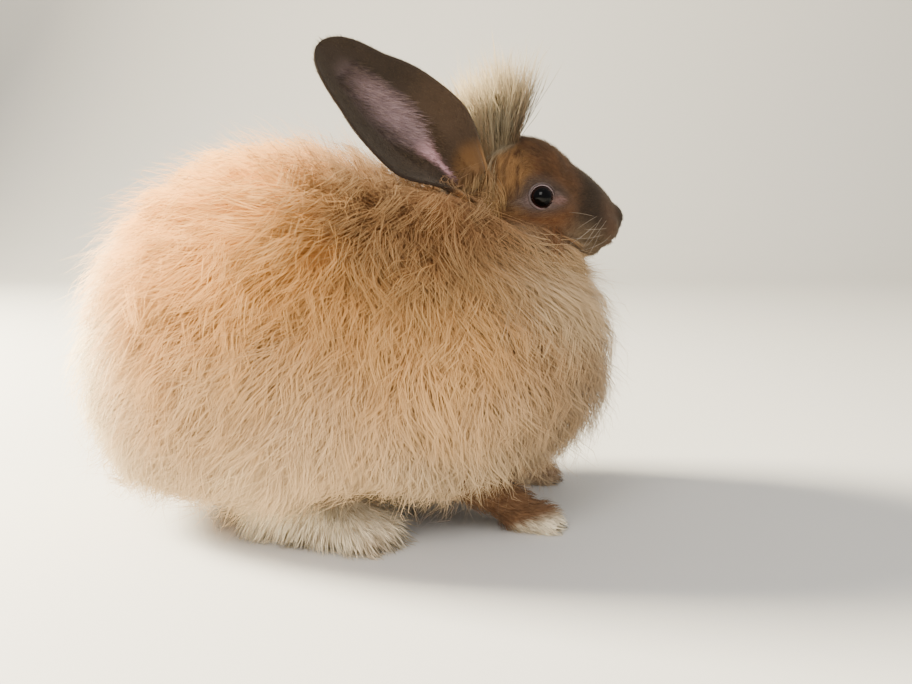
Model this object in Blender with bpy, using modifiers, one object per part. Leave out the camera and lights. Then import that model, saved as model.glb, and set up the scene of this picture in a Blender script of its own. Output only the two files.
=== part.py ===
"""A life-size model of an angora rabbit, sitting, with its head raised and its ears laid back.

Metres, +Z up. The rabbit faces +X and its left side is +Y. The origin is on the floor,
under the middle of the box that holds the coat. Flesh and coat are eggs, bodies with their
own reach each way, and the wool is made of flat locks that grow from a core inside the coat.
"""

import math
import random

import bmesh
import bpy
from mathutils import Matrix, Vector
from mathutils.bvhtree import BVHTree

# The coat, out to its tips
COAT_CENTRE = Vector((-0.002, 0.0, 0.112))
COAT_FRONT = 0.172
COAT_REAR = 0.170
COAT_SIDE = 0.118
COAT_UP = 0.134
COAT_DOWN = 0.102
COAT_SLOPE = (-0.045, 0.100, 0.32)  # where the back starts to fall, where it ends, by what share
CORE_DEPTH = 0.023  # the core lies this far under the tips, half of the wool's depth
NECK_DEPTH = 0.017
TAIL_DEPTH = 0.012

# How far a body is swollen before it cuts its neighbour, which leaves a gap between the two
SWELL = 0.0004
EAR_SWELL = 0.0006
LOCK_SWELL = 0.0006
EDGE_SWELL = 3.5  # a lock's thin edges and its tip are swollen more, to keep the gap as wide there
TIP_SWELL = 6.0
UNDER_SWELL = 0.5

# The eyes
EYE_RADIUS = 0.0082
EYE_CENTRE = Vector((0.1180, 0.0212, 0.2025))
EYE_LOOKS = Vector((0.22, 0.95, 0.12)).normalized()
LID_OUT = 0.0045  # from the middle of the eye to the middle of the lids' ring
LID_RADIUS = 0.0078
LID_POINTS = 14
LID_THICK = 0.0019

# The nose and the mouth
MOUTH_MIDDLE = Vector((0.1480, 0.0, 0.1765))
MOUTH_SPREAD = math.radians(100)
LIP_THICK = 0.0017
MOUTH_LINE = 0.0009
NOSTRIL = Vector((0.1690, 0.0045, 0.1875))

# The ears
EAR_ROOT = Vector((0.0740, 0.0170, 0.2060))
EAR_TIP = Vector((-0.0085, 0.0560, 0.2880))
EAR_WIDTH = 0.0325  # half of the blade's width, measured round its curve
EAR_BOW = 0.0065  # how far the blade bows forwards, most near its root
EAR_BACK = 0.0080  # how far it bends backwards
EAR_SET_BACK = 0.0060  # the whole blade lies this far behind the line from root to tip
EAR_THICK = 0.0028
EAR_OPENS = Vector((0.22, 0.95, 0.30))  # the way that the cup faces
EAR_CURL = 2.25  # how far the blade is rolled up at its root, in radians to each side
EAR_OPENING = 1.35  # how much less it is rolled where the tube has opened
EAR_OPEN_AT = 0.36  # the share of the length at which the tube has opened
EAR_FLATTER = 0.25  # how much less again by the tip
EAR_ROOT_SHARE = 0.84  # the width at the root, as a share of EAR_WIDTH
EAR_BELLY_SHARE = 0.24  # how much wider the belly of the leaf is
EAR_ROUNDS_FROM = 0.45  # from here on the leaf closes towards its tip
EAR_ROWS = 10
EAR_COLUMNS = 8

# The locks: their sizes on each body
TORSO_WOOL = dict(seed=5, count=104, length=0.062, width=0.038, thick=0.0042, rise=0.010)
NECK_WOOL = dict(seed=7, count=70, length=0.046, width=0.034, thick=0.0040, rise=0.008)
TAIL_WOOL = dict(seed=4, count=16, length=0.028, width=0.023, thick=0.0036, rise=0.006)
CHEEK_LOCK = dict(length=0.037, width=0.021, thick=0.0040, rise=0.009)
THROAT_LOCK = dict(length=0.032, width=0.022, thick=0.0040, rise=0.006)
FOOT_LOCK = dict(length=0.013, width=0.011, thick=0.0030, rise=0.004)
FOOT_LOCK_COUNT = 7
CREST_COUNT = 12
CREST_LENGTH = 0.050
CREST_WIDTH = 0.017
CREST_THICK = 0.0040
CREST_RISE = 0.012
LOW_WOOL = 0.045  # wool that grows lower than this is shorter, so that it clears the floor
LOW_WOOL_SHARE = 0.72

# The lie and the build of a lock
WOOL_FROM = Vector((0.060, 0.0, 0.235))  # the coat fans out from the nape
DOWN = Vector((0.0, 0.0, -1.0))
FALL = 0.55  # how much the wool's own weight turns it downwards
ROOT_SINK = 0.005
FLOOR_CLEARANCE = 0.002
BEND_SHARE = 0.45
SETTLE_STEP = 0.0015
SETTLE_STEPS = 40
TIP_DEPTH = 0.004  # a tip ends at most this far under the outer form
RIDGE_SHARE = 0.65  # how much of a lock's thickness lies above its spine
RING_SHARES = (0.0, 0.34, 0.70)
RING_WIDTHS = (0.62, 1.0, 0.80)
RING_THICKS = (1.0, 0.85, 0.45)

LEFT_PAW_SHIFT = (0.008, 0.012)  # the left foreleg stands this much further forwards and outwards

SIDES = (("left", 1.0), ("right", -1.0))


class Egg:
    """A rounded body with its own reach forwards, backwards, sideways, up and down."""

    def __init__(self, centre, front, rear, side, up, down, pitch=0.0, yaw=0.0, slope=None):
        self.centre = Vector(centre)
        self.reach = (front, rear, side, up, down)
        self.turn = Matrix.Rotation(yaw, 3, "Z") @ Matrix.Rotation(pitch, 3, "Y")
        self.slope = slope
        self.plan = 2.25
        self.over = 2.2

    def under(self, way):
        """How square the lower half is: the coat is fuller behind than in front."""
        return 3.4 - 0.7 * way.x if self.slope else 2.2

    def at(self, way, swell=0.0):
        """The point of the surface that lies that way from the centre."""
        front, rear, side, up, down = (r + swell for r in self.reach)
        ahead = front if way.x > 0 else rear
        flat = (abs(way.x / ahead) ** self.plan + abs(way.y / side) ** self.plan) ** (1 / self.plan)
        power = self.over if way.z > 0 else self.under(way)
        tall = abs(way.z) / (up if way.z > 0 else down)
        point = way * (flat**power + tall**power) ** (-1 / power)
        if self.slope and point.z > 0:
            start, end, drop = self.slope
            point.z *= 1 - drop * smooth_share(point.x + self.centre.x, start, end)
        return self.centre + self.turn @ point

    def frame_at(self, way, swell=0.0):
        """The surface's point that way, and its normal there."""
        across = way.orthogonal().normalized()
        along = way.cross(across)
        step = 0.01
        here = self.at(way, swell)
        one = self.at((way + across * step).normalized(), swell) - here
        two = self.at((way + along * step).normalized(), swell) - here
        normal = one.cross(two).normalized()
        return here, normal if normal.dot(here - self.centre) > 0 else -normal

    def way_to(self, point):
        """The way from the centre to a point, in the egg's own turn."""
        return (self.turn.transposed() @ (point - self.centre)).normalized()

    def holds(self, point, margin=0.0):
        """Whether the point lies inside the surface, or less than the margin outside it."""
        way = self.way_to(point)
        return (point - self.centre).length < (self.at(way) - self.centre).length + margin


def smooth_share(value, low, high):
    """0 below low, 1 above high, and a smooth rise between them."""
    share = min(1.0, max(0.0, (value - low) / (high - low)))
    return share * share * (3 - 2 * share)


def clear_scene():
    for obj in list(bpy.data.objects):
        bpy.data.objects.remove(obj)


def make_material(name, colour, roughness):
    material = bpy.data.materials.new(name)
    material.use_nodes = True
    shader = material.node_tree.nodes["Principled BSDF"]
    shader.inputs["Base Color"].default_value = (*colour, 1.0)
    shader.inputs["Roughness"].default_value = roughness
    return material


def object_from(name, bm):
    mesh = bpy.data.meshes.new(name)
    bm.to_mesh(mesh)
    bm.free()
    obj = bpy.data.objects.new(name, mesh)
    bpy.context.scene.collection.objects.link(obj)
    return obj


def mesh_copy(obj):
    bm = bmesh.new()
    bm.from_mesh(obj.data)
    bm.normal_update()
    return bm


def remove(*objects):
    for obj in objects:
        bpy.data.objects.remove(obj)


def apply_modifiers(obj):
    """Makes the object's mesh the one that its modifiers give."""
    graph = bpy.context.evaluated_depsgraph_get()
    mesh = bpy.data.meshes.new_from_object(obj.evaluated_get(graph))
    obj.modifiers.clear()
    obj.data = mesh
    return obj


def combine(obj, pieces, operation):
    """Joins the pieces to the object, or cuts them from it, in one step, and removes them."""
    helpers = bpy.data.collections.new("shapes_to_" + operation.lower())
    bpy.context.scene.collection.children.link(helpers)
    for piece in pieces:
        bpy.context.scene.collection.objects.unlink(piece)
        helpers.objects.link(piece)
        piece.hide_render = True
        piece.display_type = "WIRE"
    modifier = obj.modifiers.new(operation, "BOOLEAN")
    modifier.operation = operation
    modifier.operand_type = "COLLECTION"
    modifier.collection = helpers
    modifier.solver = "MANIFOLD"
    apply_modifiers(obj)
    remove(*pieces)
    bpy.data.collections.remove(helpers)
    return obj


def keep_largest(obj):
    """Keeps the largest closed surface of the mesh, and drops loose scraps and sealed hollows."""
    bm = mesh_copy(obj)
    left = set(bm.verts)
    shells = []
    while left:
        shell = {left.pop()}
        edge_of_search = list(shell)
        while edge_of_search:
            vert = edge_of_search.pop()
            for edge in vert.link_edges:
                other = edge.other_vert(vert)
                if other not in shell:
                    shell.add(other)
                    edge_of_search.append(other)
        left -= shell
        shells.append(shell)
    shells.sort(key=len)
    scraps = [vert for shell in shells[:-1] for vert in shell]
    bmesh.ops.delete(bm, geom=scraps, context="VERTS")
    bm.to_mesh(obj.data)
    bm.free()
    return obj


def egg_object(name, egg, detail=3, swell=0.0):
    bm = bmesh.new()
    bmesh.ops.create_icosphere(bm, subdivisions=detail, radius=1.0)
    for vert in bm.verts:
        vert.co = egg.at(vert.co.normalized(), swell)
    return object_from(name, bm)


def blended(name, eggs, voxel, rounds, faces):
    """One smooth body from eggs that overlap, as flesh lies over bone and muscle."""
    bm = bmesh.new()
    for egg in eggs:
        made = bmesh.ops.create_icosphere(bm, subdivisions=3, radius=1.0)
        for vert in made["verts"]:
            vert.co = egg.at(vert.co.normalized())
    obj = object_from(name, bm)
    remesh = obj.modifiers.new("remesh", "REMESH")
    remesh.mode = "VOXEL"
    remesh.voxel_size = voxel
    smooth = obj.modifiers.new("smooth", "SMOOTH")
    smooth.factor = 0.5
    smooth.iterations = rounds
    keep_largest(apply_modifiers(obj))
    decimate = obj.modifiers.new("decimate", "DECIMATE")
    decimate.ratio = min(1.0, faces / (2 * len(obj.data.polygons)))
    decimate.use_collapse_triangulate = True
    return apply_modifiers(obj)


def swollen(obj, amount=SWELL):
    """A copy of a smooth body, larger all round, to cut its neighbours clear of it."""
    copy = object_from("swollen_" + obj.name, mesh_copy(obj))
    normals = [vert.normal.copy() for vert in copy.data.vertices]
    for vert, normal in zip(copy.data.vertices, normals):
        vert.co += normal * amount
    return copy


def mirrored(obj, name):
    """The same piece on the other side of the body."""
    bm = mesh_copy(obj)
    for vert in bm.verts:
        vert.co.y = -vert.co.y
    bmesh.ops.reverse_faces(bm, faces=bm.faces)
    return object_from(name, bm)


def tube_object(name, points, radius, closed=False, detail=0):
    """A tube through the points, closed at its ends or into a ring."""
    curve = bpy.data.curves.new(name, "CURVE")
    curve.dimensions = "3D"
    curve.bevel_depth = radius
    curve.bevel_resolution = detail
    curve.use_fill_caps = not closed
    spline = curve.splines.new("POLY")
    spline.points.add(len(points) - 1)
    for spot, point in zip(spline.points, points):
        spot.co = (*point, 1.0)
    spline.use_cyclic_u = closed
    guide = bpy.data.objects.new(name + "_guide", curve)
    bpy.context.scene.collection.objects.link(guide)
    bpy.context.view_layer.update()
    graph = bpy.context.evaluated_depsgraph_get()
    mesh = bpy.data.meshes.new_from_object(guide.evaluated_get(graph))
    remove(guide)
    bm = bmesh.new()
    bm.from_mesh(mesh)
    bmesh.ops.remove_doubles(bm, verts=bm.verts, dist=1e-6)
    bmesh.ops.triangulate(bm, faces=bm.faces)
    bmesh.ops.recalc_face_normals(bm, faces=bm.faces)
    return object_from(name, bm)


def cut_at_floor(obj):
    """Gives the soles small flats on the floor."""
    bm = bmesh.new()
    bmesh.ops.create_cube(bm, size=1.0, matrix=Matrix.Translation((0.0, 0.0, -0.5)))
    return combine(obj, [object_from("floor_block", bm)], "DIFFERENCE")


def coat_egg(depth=0.0):
    """The wool's outer form, or a form that lies deeper in it."""
    return Egg(
        COAT_CENTRE,
        COAT_FRONT - depth,
        COAT_REAR - depth,
        COAT_SIDE - depth,
        COAT_UP - depth,
        COAT_DOWN - depth,
        slope=COAT_SLOPE,
    )


def neck_egg(depth=0.0):
    """The wool round the neck, from the nape to the throat."""
    reach = (r - depth for r in (0.052, 0.056, 0.074, 0.048, 0.058))
    return Egg((0.052, 0.0, 0.178), *reach, pitch=math.radians(-14))


def tail_egg(depth=0.0):
    reach = (r - depth for r in (0.034, 0.030, 0.034, 0.034, 0.034))
    return Egg((-0.142, 0.0, 0.068), *reach)


HEAD_ROOM = Egg((0.118, 0.0, 0.198), 0.052, 0.056, 0.031, 0.044, 0.038, pitch=math.radians(20))
CHEEK_TIPS = Egg((0.116, 0.0, 0.164), 0.034, 0.044, 0.052, 0.024, 0.032)


class Lock:
    """A flat, tapered lock that leaves its core and bends over along the lie of the coat."""

    def __init__(self, root, normal, tip, width, thick, rise, faces=None):
        self.root = root
        self.normal = normal
        self.faces = faces or normal
        self.tip = tip
        self.width = width
        self.thick = thick
        self.rise = rise

    def point_at(self, share):
        """The spine, a curve that rises from the root and then runs on to the tip."""
        start = self.root - self.normal * ROOT_SINK
        reach = self.tip - self.root
        bend = self.root + self.faces * self.rise + reach * BEND_SHARE
        rest = 1 - share
        return start * rest**2 + bend * (2 * share * rest) + self.tip * share**2

    def make(self, swell=0.0):
        """The lock as a closed object: three-sided, flat underneath, with a low ridge on top."""
        bm = bmesh.new()
        rings = []
        for share, wide, deep in zip(RING_SHARES, RING_WIDTHS, RING_THICKS):
            centre = self.point_at(share)
            ahead = (self.point_at(share + 0.05) - centre).normalized()
            side = ahead.cross(self.faces).normalized()
            out = side.cross(ahead).normalized()
            side *= self.width * wide / 2 + EDGE_SWELL * swell
            ridge = out * (self.thick * deep * RIDGE_SHARE + swell)
            under = out * (self.thick * deep * (1 - RIDGE_SHARE) + UNDER_SWELL * swell)
            rings.append([bm.verts.new(centre + way) for way in (side - under, ridge, -side - under)])
        last = self.tip - self.point_at(RING_SHARES[-1])
        end = bm.verts.new(self.tip + last.normalized() * swell * TIP_SWELL)
        for low, high in zip(rings, rings[1:]):
            for index in range(3):
                after = (index + 1) % 3
                bm.faces.new((low[index], low[after], high[after]))
                bm.faces.new((low[index], high[after], high[index]))
        for index in range(3):
            bm.faces.new((rings[-1][index], rings[-1][(index + 1) % 3], end))
        bm.faces.new(reversed(rings[0]))
        bmesh.ops.recalc_face_normals(bm, faces=bm.faces)
        return object_from("lock", bm)


def lie_at(point, normal):
    """The way that the wool lies: away from the nape and downwards, along the surface."""
    fall = (point - WOOL_FROM).normalized() + DOWN * FALL
    return (fall - normal * fall.dot(normal)).normalized()


def settle(point, normal, eggs):
    """Moves a tip along the normal until it lies on the outer form of the eggs."""
    for _ in range(SETTLE_STEPS):
        if any(egg.holds(point) for egg in eggs):
            break
        point = point - normal * SETTLE_STEP
    for _ in range(SETTLE_STEPS):
        if not any(egg.holds(point) for egg in eggs):
            break
        point = point + normal * SETTLE_STEP
    return point


def grow(draw, root, normal, lie, length, width, thick, rise, eggs=(), curl=0.22):
    """A lock of about this size, with its own bend to one side."""
    length *= draw.uniform(0.82, 1.12)
    side = lie.cross(normal)
    tip = root + lie * length + side * (length * draw.uniform(-curl, curl))
    if eggs:
        tip = settle(tip, normal, eggs) - normal * draw.uniform(0.0, TIP_DEPTH)
    tip.z = max(tip.z, FLOOR_CLEARANCE)
    return Lock(root, normal, tip, width * draw.uniform(0.85, 1.12), thick, rise)


def spread_ways(count):
    """Ways that are spread evenly all round."""
    turn = math.pi * (3 - math.sqrt(5))
    for index in range(count):
        z = 1 - 2 * (index + 0.5) / count
        flat = math.sqrt(1 - z * z)
        yield Vector((flat * math.cos(turn * index), flat * math.sin(turn * index), z))


def fleece(core, eggs, clear_of, seed, count, length, width, thick, rise):
    """Locks all over a core, out to the eggs, apart from where another body lies."""
    draw = random.Random(seed)
    locks = []
    for way in spread_ways(count):
        root, normal = core.frame_at(way)
        if any(egg.holds(root, 0.003) for egg in clear_of):
            continue
        lie = lie_at(root, normal)
        size = length * (LOW_WOOL_SHARE if root.z < LOW_WOOL else 1.0)
        locks.append(grow(draw, root, normal, lie, size, width, thick, rise, eggs))
    return locks


def head_eggs():
    """The skull, cheeks, muzzle and jaw."""
    eggs = [
        Egg((0.1080, 0, 0.2090), 0.032, 0.032, 0.0255, 0.0305, 0.034, pitch=math.radians(10)),
        Egg((0.0880, 0, 0.2040), 0.026, 0.024, 0.0240, 0.0260, 0.028),
        Egg((0.1390, 0, 0.1985), 0.036, 0.036, 0.0180, 0.0205, 0.021, pitch=math.radians(40)),
        Egg((0.1280, 0, 0.1870), 0.032, 0.032, 0.0200, 0.0190, 0.019, pitch=math.radians(22)),
        Egg((0.1270, 0, 0.2165), 0.016, 0.016, 0.0120, 0.0140, 0.012, pitch=math.radians(42)),
        Egg((0.1610, 0, 0.1895), 0.0115, 0.014, 0.0100, 0.0105, 0.010),
        Egg((0.1450, 0, 0.1735), 0.014, 0.020, 0.0110, 0.0090, 0.0085, pitch=math.radians(10)),
    ]
    for _, sign in SIDES:
        eggs += [
            Egg((0.1130, 0.0110 * sign, 0.1920), 0.031, 0.028, 0.0170, 0.024, 0.026),
            Egg((0.1530, 0.0080 * sign, 0.1840), 0.0155, 0.018, 0.0105, 0.012, 0.0105),
            Egg((0.1150, 0.0135 * sign, 0.2140), 0.017, 0.017, 0.0100, 0.009, 0.009),
        ]
    return eggs


def hind_leg_eggs():
    """The left hind leg: foot flat on the floor, hock behind, shank rising into the wool."""
    yaw = math.radians(16.6)
    eggs = [
        Egg((-0.044, 0.050, 0.015), 0.020, 0.016, 0.014, 0.016, 0.018, yaw=yaw),
        Egg((-0.014, 0.059, 0.015), 0.036, 0.034, 0.016, 0.020, 0.018, yaw=yaw),
        Egg((0.000, 0.0635, 0.012), 0.024, 0.026, 0.0175, 0.016, 0.015, yaw=yaw),
        Egg((-0.030, 0.056, 0.044), 0.024, 0.024, 0.017, 0.030, 0.034, pitch=math.radians(28)),
    ]
    for index in range(4):
        across = (index - 1.5) * 0.0085
        ahead = 0.023 - 0.004 * abs(index - 1.2)
        centre = Vector((ahead * math.cos(yaw) - 0.001, 0.063 + ahead * math.sin(yaw), 0.008))
        centre += Vector((-math.sin(yaw), math.cos(yaw), 0.0)) * across
        eggs.append(Egg(centre, 0.011, 0.012, 0.0055, 0.0075, 0.011, yaw=yaw))
    return eggs


def foreleg_eggs(ahead=0.0, out=0.0):
    """A foreleg on the left: forearm laid forwards, paw flat on the floor."""
    yaw = math.radians(5)
    eggs = [
        Egg((0.062, 0.036, 0.042), 0.024, 0.022, 0.0145, 0.020, 0.022, pitch=math.radians(35)),
        Egg((0.088, 0.039, 0.022), 0.030, 0.030, 0.0115, 0.012, 0.012, pitch=math.radians(22)),
        Egg((0.112, 0.042, 0.0080), 0.018, 0.020, 0.0115, 0.0100, 0.010, yaw=yaw),
    ]
    for index in range(4):
        across = (index - 1.5) * 0.0056
        centre = Vector((0.1250 - 0.0025 * abs(index - 1.4), 0.0430 + across, 0.0060))
        eggs.append(Egg(centre, 0.008, 0.009, 0.0036, 0.0056, 0.008, yaw=yaw + across * 12))
    for egg in eggs:
        egg.centre += Vector((ahead, out, 0.0))
    return eggs


def ear_object(name):
    """The left ear: a leaf that is rolled into a tube at its root and opens towards its tip."""
    axis = (EAR_TIP - EAR_ROOT).normalized()
    length = (EAR_TIP - EAR_ROOT).length
    opens = (EAR_OPENS - axis * EAR_OPENS.dot(axis)).normalized()
    side = opens.cross(axis)
    bm = bmesh.new()
    grid = []
    for row in range(EAR_ROWS + 1):
        along = math.sin(math.pi / 2 * row / EAR_ROWS)
        curl = EAR_CURL - EAR_OPENING * smooth_share(along, 0.0, EAR_OPEN_AT) - EAR_FLATTER * along
        belly = EAR_BELLY_SHARE * math.sin(math.pi * min(1.0, along * 1.35))
        closing = max(0.0, along - EAR_ROUNDS_FROM) / (1.003 - EAR_ROUNDS_FROM)
        half = EAR_WIDTH * (EAR_ROOT_SHARE + belly) * math.sqrt(max(0.0, 1 - closing**2.2))
        radius = half / curl
        bow = side * (EAR_BOW * math.sin(math.pi * along**0.6))
        back = opens * (EAR_BACK * math.sin(math.pi * along) + EAR_SET_BACK)
        centre = EAR_ROOT + axis * (length * along) + bow - back
        line = []
        for column in range(EAR_COLUMNS + 1):
            angle = (2 * column / EAR_COLUMNS - 1) * curl
            out = radius * (1 - math.cos(angle))
            line.append(bm.verts.new(centre + side * (radius * math.sin(angle)) + opens * out))
        grid.append(line)
    for low, high in zip(grid, grid[1:]):
        for column in range(EAR_COLUMNS):
            bm.faces.new((low[column], low[column + 1], high[column + 1], high[column]))
    obj = object_from(name, bm)
    solidify = obj.modifiers.new("thickness", "SOLIDIFY")
    solidify.thickness = EAR_THICK
    solidify.offset = 0.0
    apply_modifiers(obj)
    bm = mesh_copy(obj)
    bmesh.ops.triangulate(bm, faces=bm.faces)
    bmesh.ops.recalc_face_normals(bm, faces=bm.faces)
    bm.to_mesh(obj.data)
    bm.free()
    return obj


def eye_egg(sign):
    centre = Vector((EYE_CENTRE.x, EYE_CENTRE.y * sign, EYE_CENTRE.z))
    r = EYE_RADIUS
    eye = Egg(centre, r, r, r, r, r)
    eye.plan = eye.over = 2.0
    return eye


def lid_ring(sign):
    """The two lids, as one ring round the opening that the eye shows in."""
    looks = Vector((EYE_LOOKS.x, EYE_LOOKS.y * sign, EYE_LOOKS.z))
    middle = eye_egg(sign).centre + looks * LID_OUT
    ahead = (Vector((1, 0, -0.12)) - looks * looks.x).normalized()
    above = looks.cross(ahead).normalized()
    points = []
    for index in range(LID_POINTS):
        angle = 2 * math.pi * index / LID_POINTS
        reach = LID_RADIUS * (1 + 0.10 * math.cos(angle) ** 2)
        points.append(middle + ahead * (reach * math.cos(angle)) + above * (reach * math.sin(angle)))
    return tube_object("lids", points, LID_THICK, closed=True, detail=1)


def add_mouth(head):
    """Rounds the lips along the mouth, and cuts the mouth's line, the lip's cleft and the nostrils."""
    tree = BVHTree.FromBMesh(mesh_copy(head))
    line = []
    for index in range(-3, 4):
        angle = MOUTH_SPREAD * index / 3
        way = Vector((math.cos(angle), math.sin(angle), -0.10 * abs(index) / 3)).normalized()
        line.append(tree.ray_cast(MOUTH_MIDDLE, way)[0])
    lips = []
    for lift in (LIP_THICK * 0.85, -LIP_THICK * 0.85):
        points = [point + Vector((-0.0006, 0.0, lift)) for point in line]
        lips.append(tube_object("lip", points, LIP_THICK))
    combine(head, lips, "UNION")
    cleft = []
    for index in range(4):
        way = Vector((1.0, 0.0, 0.05 + 0.16 * index)).normalized()
        cleft.append(tree.ray_cast(MOUTH_MIDDLE, way)[0])
    cuts = [tube_object("mouth", line, MOUTH_LINE), tube_object("cleft", cleft, MOUTH_LINE * 0.8)]
    for _, sign in SIDES:
        centre = Vector((NOSTRIL.x, NOSTRIL.y * sign, NOSTRIL.z))
        cuts.append(egg_object("nostril", Egg(centre, 0.004, 0.004, 0.0021, 0.0012, 0.0012), 1))
    combine(head, cuts, "DIFFERENCE")
    return keep_largest(head)


def head_locks(head):
    """The long wool of the cheeks and throat, and the tuft that stands up between the ears."""
    draw = random.Random(21)
    tree = BVHTree.FromBMesh(mesh_copy(head))
    locks = []
    for _, sign in SIDES:
        for row in range(3):
            for column in range(3):
                start = Vector((0.099 + 0.0150 * column - 0.004 * row, 0.0, 0.192))
                way = Vector((-0.10, sign, -0.22 - 0.42 * row)).normalized()
                root, normal = tree.ray_cast(start, way)[:2]
                lie = Vector((-0.55, 0.30 * sign, -0.78))
                lie = (lie - normal * lie.dot(normal)).normalized()
                locks.append(grow(draw, root, normal, lie, **CHEEK_LOCK, eggs=[CHEEK_TIPS]))
    for index in range(4):
        start = Vector((0.110 + 0.016 * (index // 2), 0.0, 0.190))
        way = Vector((0.05, 0.30 if index % 2 else -0.30, -1.0)).normalized()
        root, normal = tree.ray_cast(start, way)[:2]
        lie = Vector((-0.35, way.y, -0.8)).normalized()
        locks.append(grow(draw, root, normal, lie, **THROAT_LOCK, eggs=[CHEEK_TIPS]))
    for index in range(CREST_COUNT):
        share = index / (CREST_COUNT - 1)
        side = math.sin(index * 2.4)
        start = Vector((0.083 + 0.016 * share, 0.009 * side, 0.210))
        root, normal = tree.ray_cast(start, Vector((0.0, 0.10 * side, 1.0)).normalized())[:2]
        angle = math.radians(124 - 70 * share)
        way = Vector((math.cos(angle), 0.42 * side, math.sin(angle))).normalized()
        tip = root + way * ((CREST_LENGTH - 0.012 * share) * draw.uniform(0.90, 1.06))
        faces = Vector((0.5 * math.sin(angle), side, -0.5 * math.cos(angle))).normalized()
        width = CREST_WIDTH * draw.uniform(0.85, 1.15)
        locks.append(Lock(root, normal, tip, width, CREST_THICK, CREST_RISE, faces))
    return locks


def foot_locks(foot):
    """Short tufts along the outer side and the back of a left hind foot."""
    draw = random.Random(31)
    tree = BVHTree.FromBMesh(mesh_copy(foot))
    locks = []
    for index in range(FOOT_LOCK_COUNT):
        share = index / (FOOT_LOCK_COUNT - 1)
        start = Vector((-0.046 + 0.046 * share, 0.050 + 0.0135 * share, 0.016 + 0.006 * (index % 2)))
        way = Vector((-0.9 + 1.0 * share, 0.5 + 0.5 * share, 0.15)).normalized()
        root, normal = tree.ray_cast(start, way)[:2]
        lie = (Vector((-0.35, 0.35, -0.7)) - normal * 0.2).normalized()
        locks.append(grow(draw, root, normal, lie, **FOOT_LOCK))
    return locks


def lock_objects(locks, swell=0.0):
    return [lock.make(swell) for lock in locks]


def mirrored_locks(locks):
    flip = Matrix.Diagonal((1.0, -1.0, 1.0))
    pairs = []
    for lock in locks:
        root, normal, tip = flip @ lock.root, flip @ lock.normal, flip @ lock.tip
        pairs.append(Lock(root, normal, tip, lock.width, lock.thick, lock.rise))
    return pairs


def paired(piece, kind, nodes):
    """Keeps the piece as the left one and makes the right one from it."""
    nodes[f"{kind}_right"] = mirrored(piece, f"{kind}_right")
    piece.name = f"{kind}_left"
    nodes[f"{kind}_left"] = piece


def ear_pieces():
    """Both ears, and larger copies that cut their neighbours clear of them."""
    left = ear_object("ear")
    room = swollen(left, EAR_SWELL)
    return {
        ("ear", "left"): left,
        ("ear", "right"): mirrored(left, "ear"),
        ("room", "left"): room,
        ("room", "right"): mirrored(room, "ear_room"),
    }


def copies(pieces):
    return [object_from(piece.name, mesh_copy(piece)) for piece in pieces]


def with_wool(core, locks, ears):
    """Joins the locks to their core, after the ears are cut clear of them."""
    wool = locks[0]
    combine(wool, locks[1:], "UNION")
    if ears:
        combine(wool, ears, "DIFFERENCE")
    combine(core, [wool], "UNION")
    return keep_largest(core)


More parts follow.
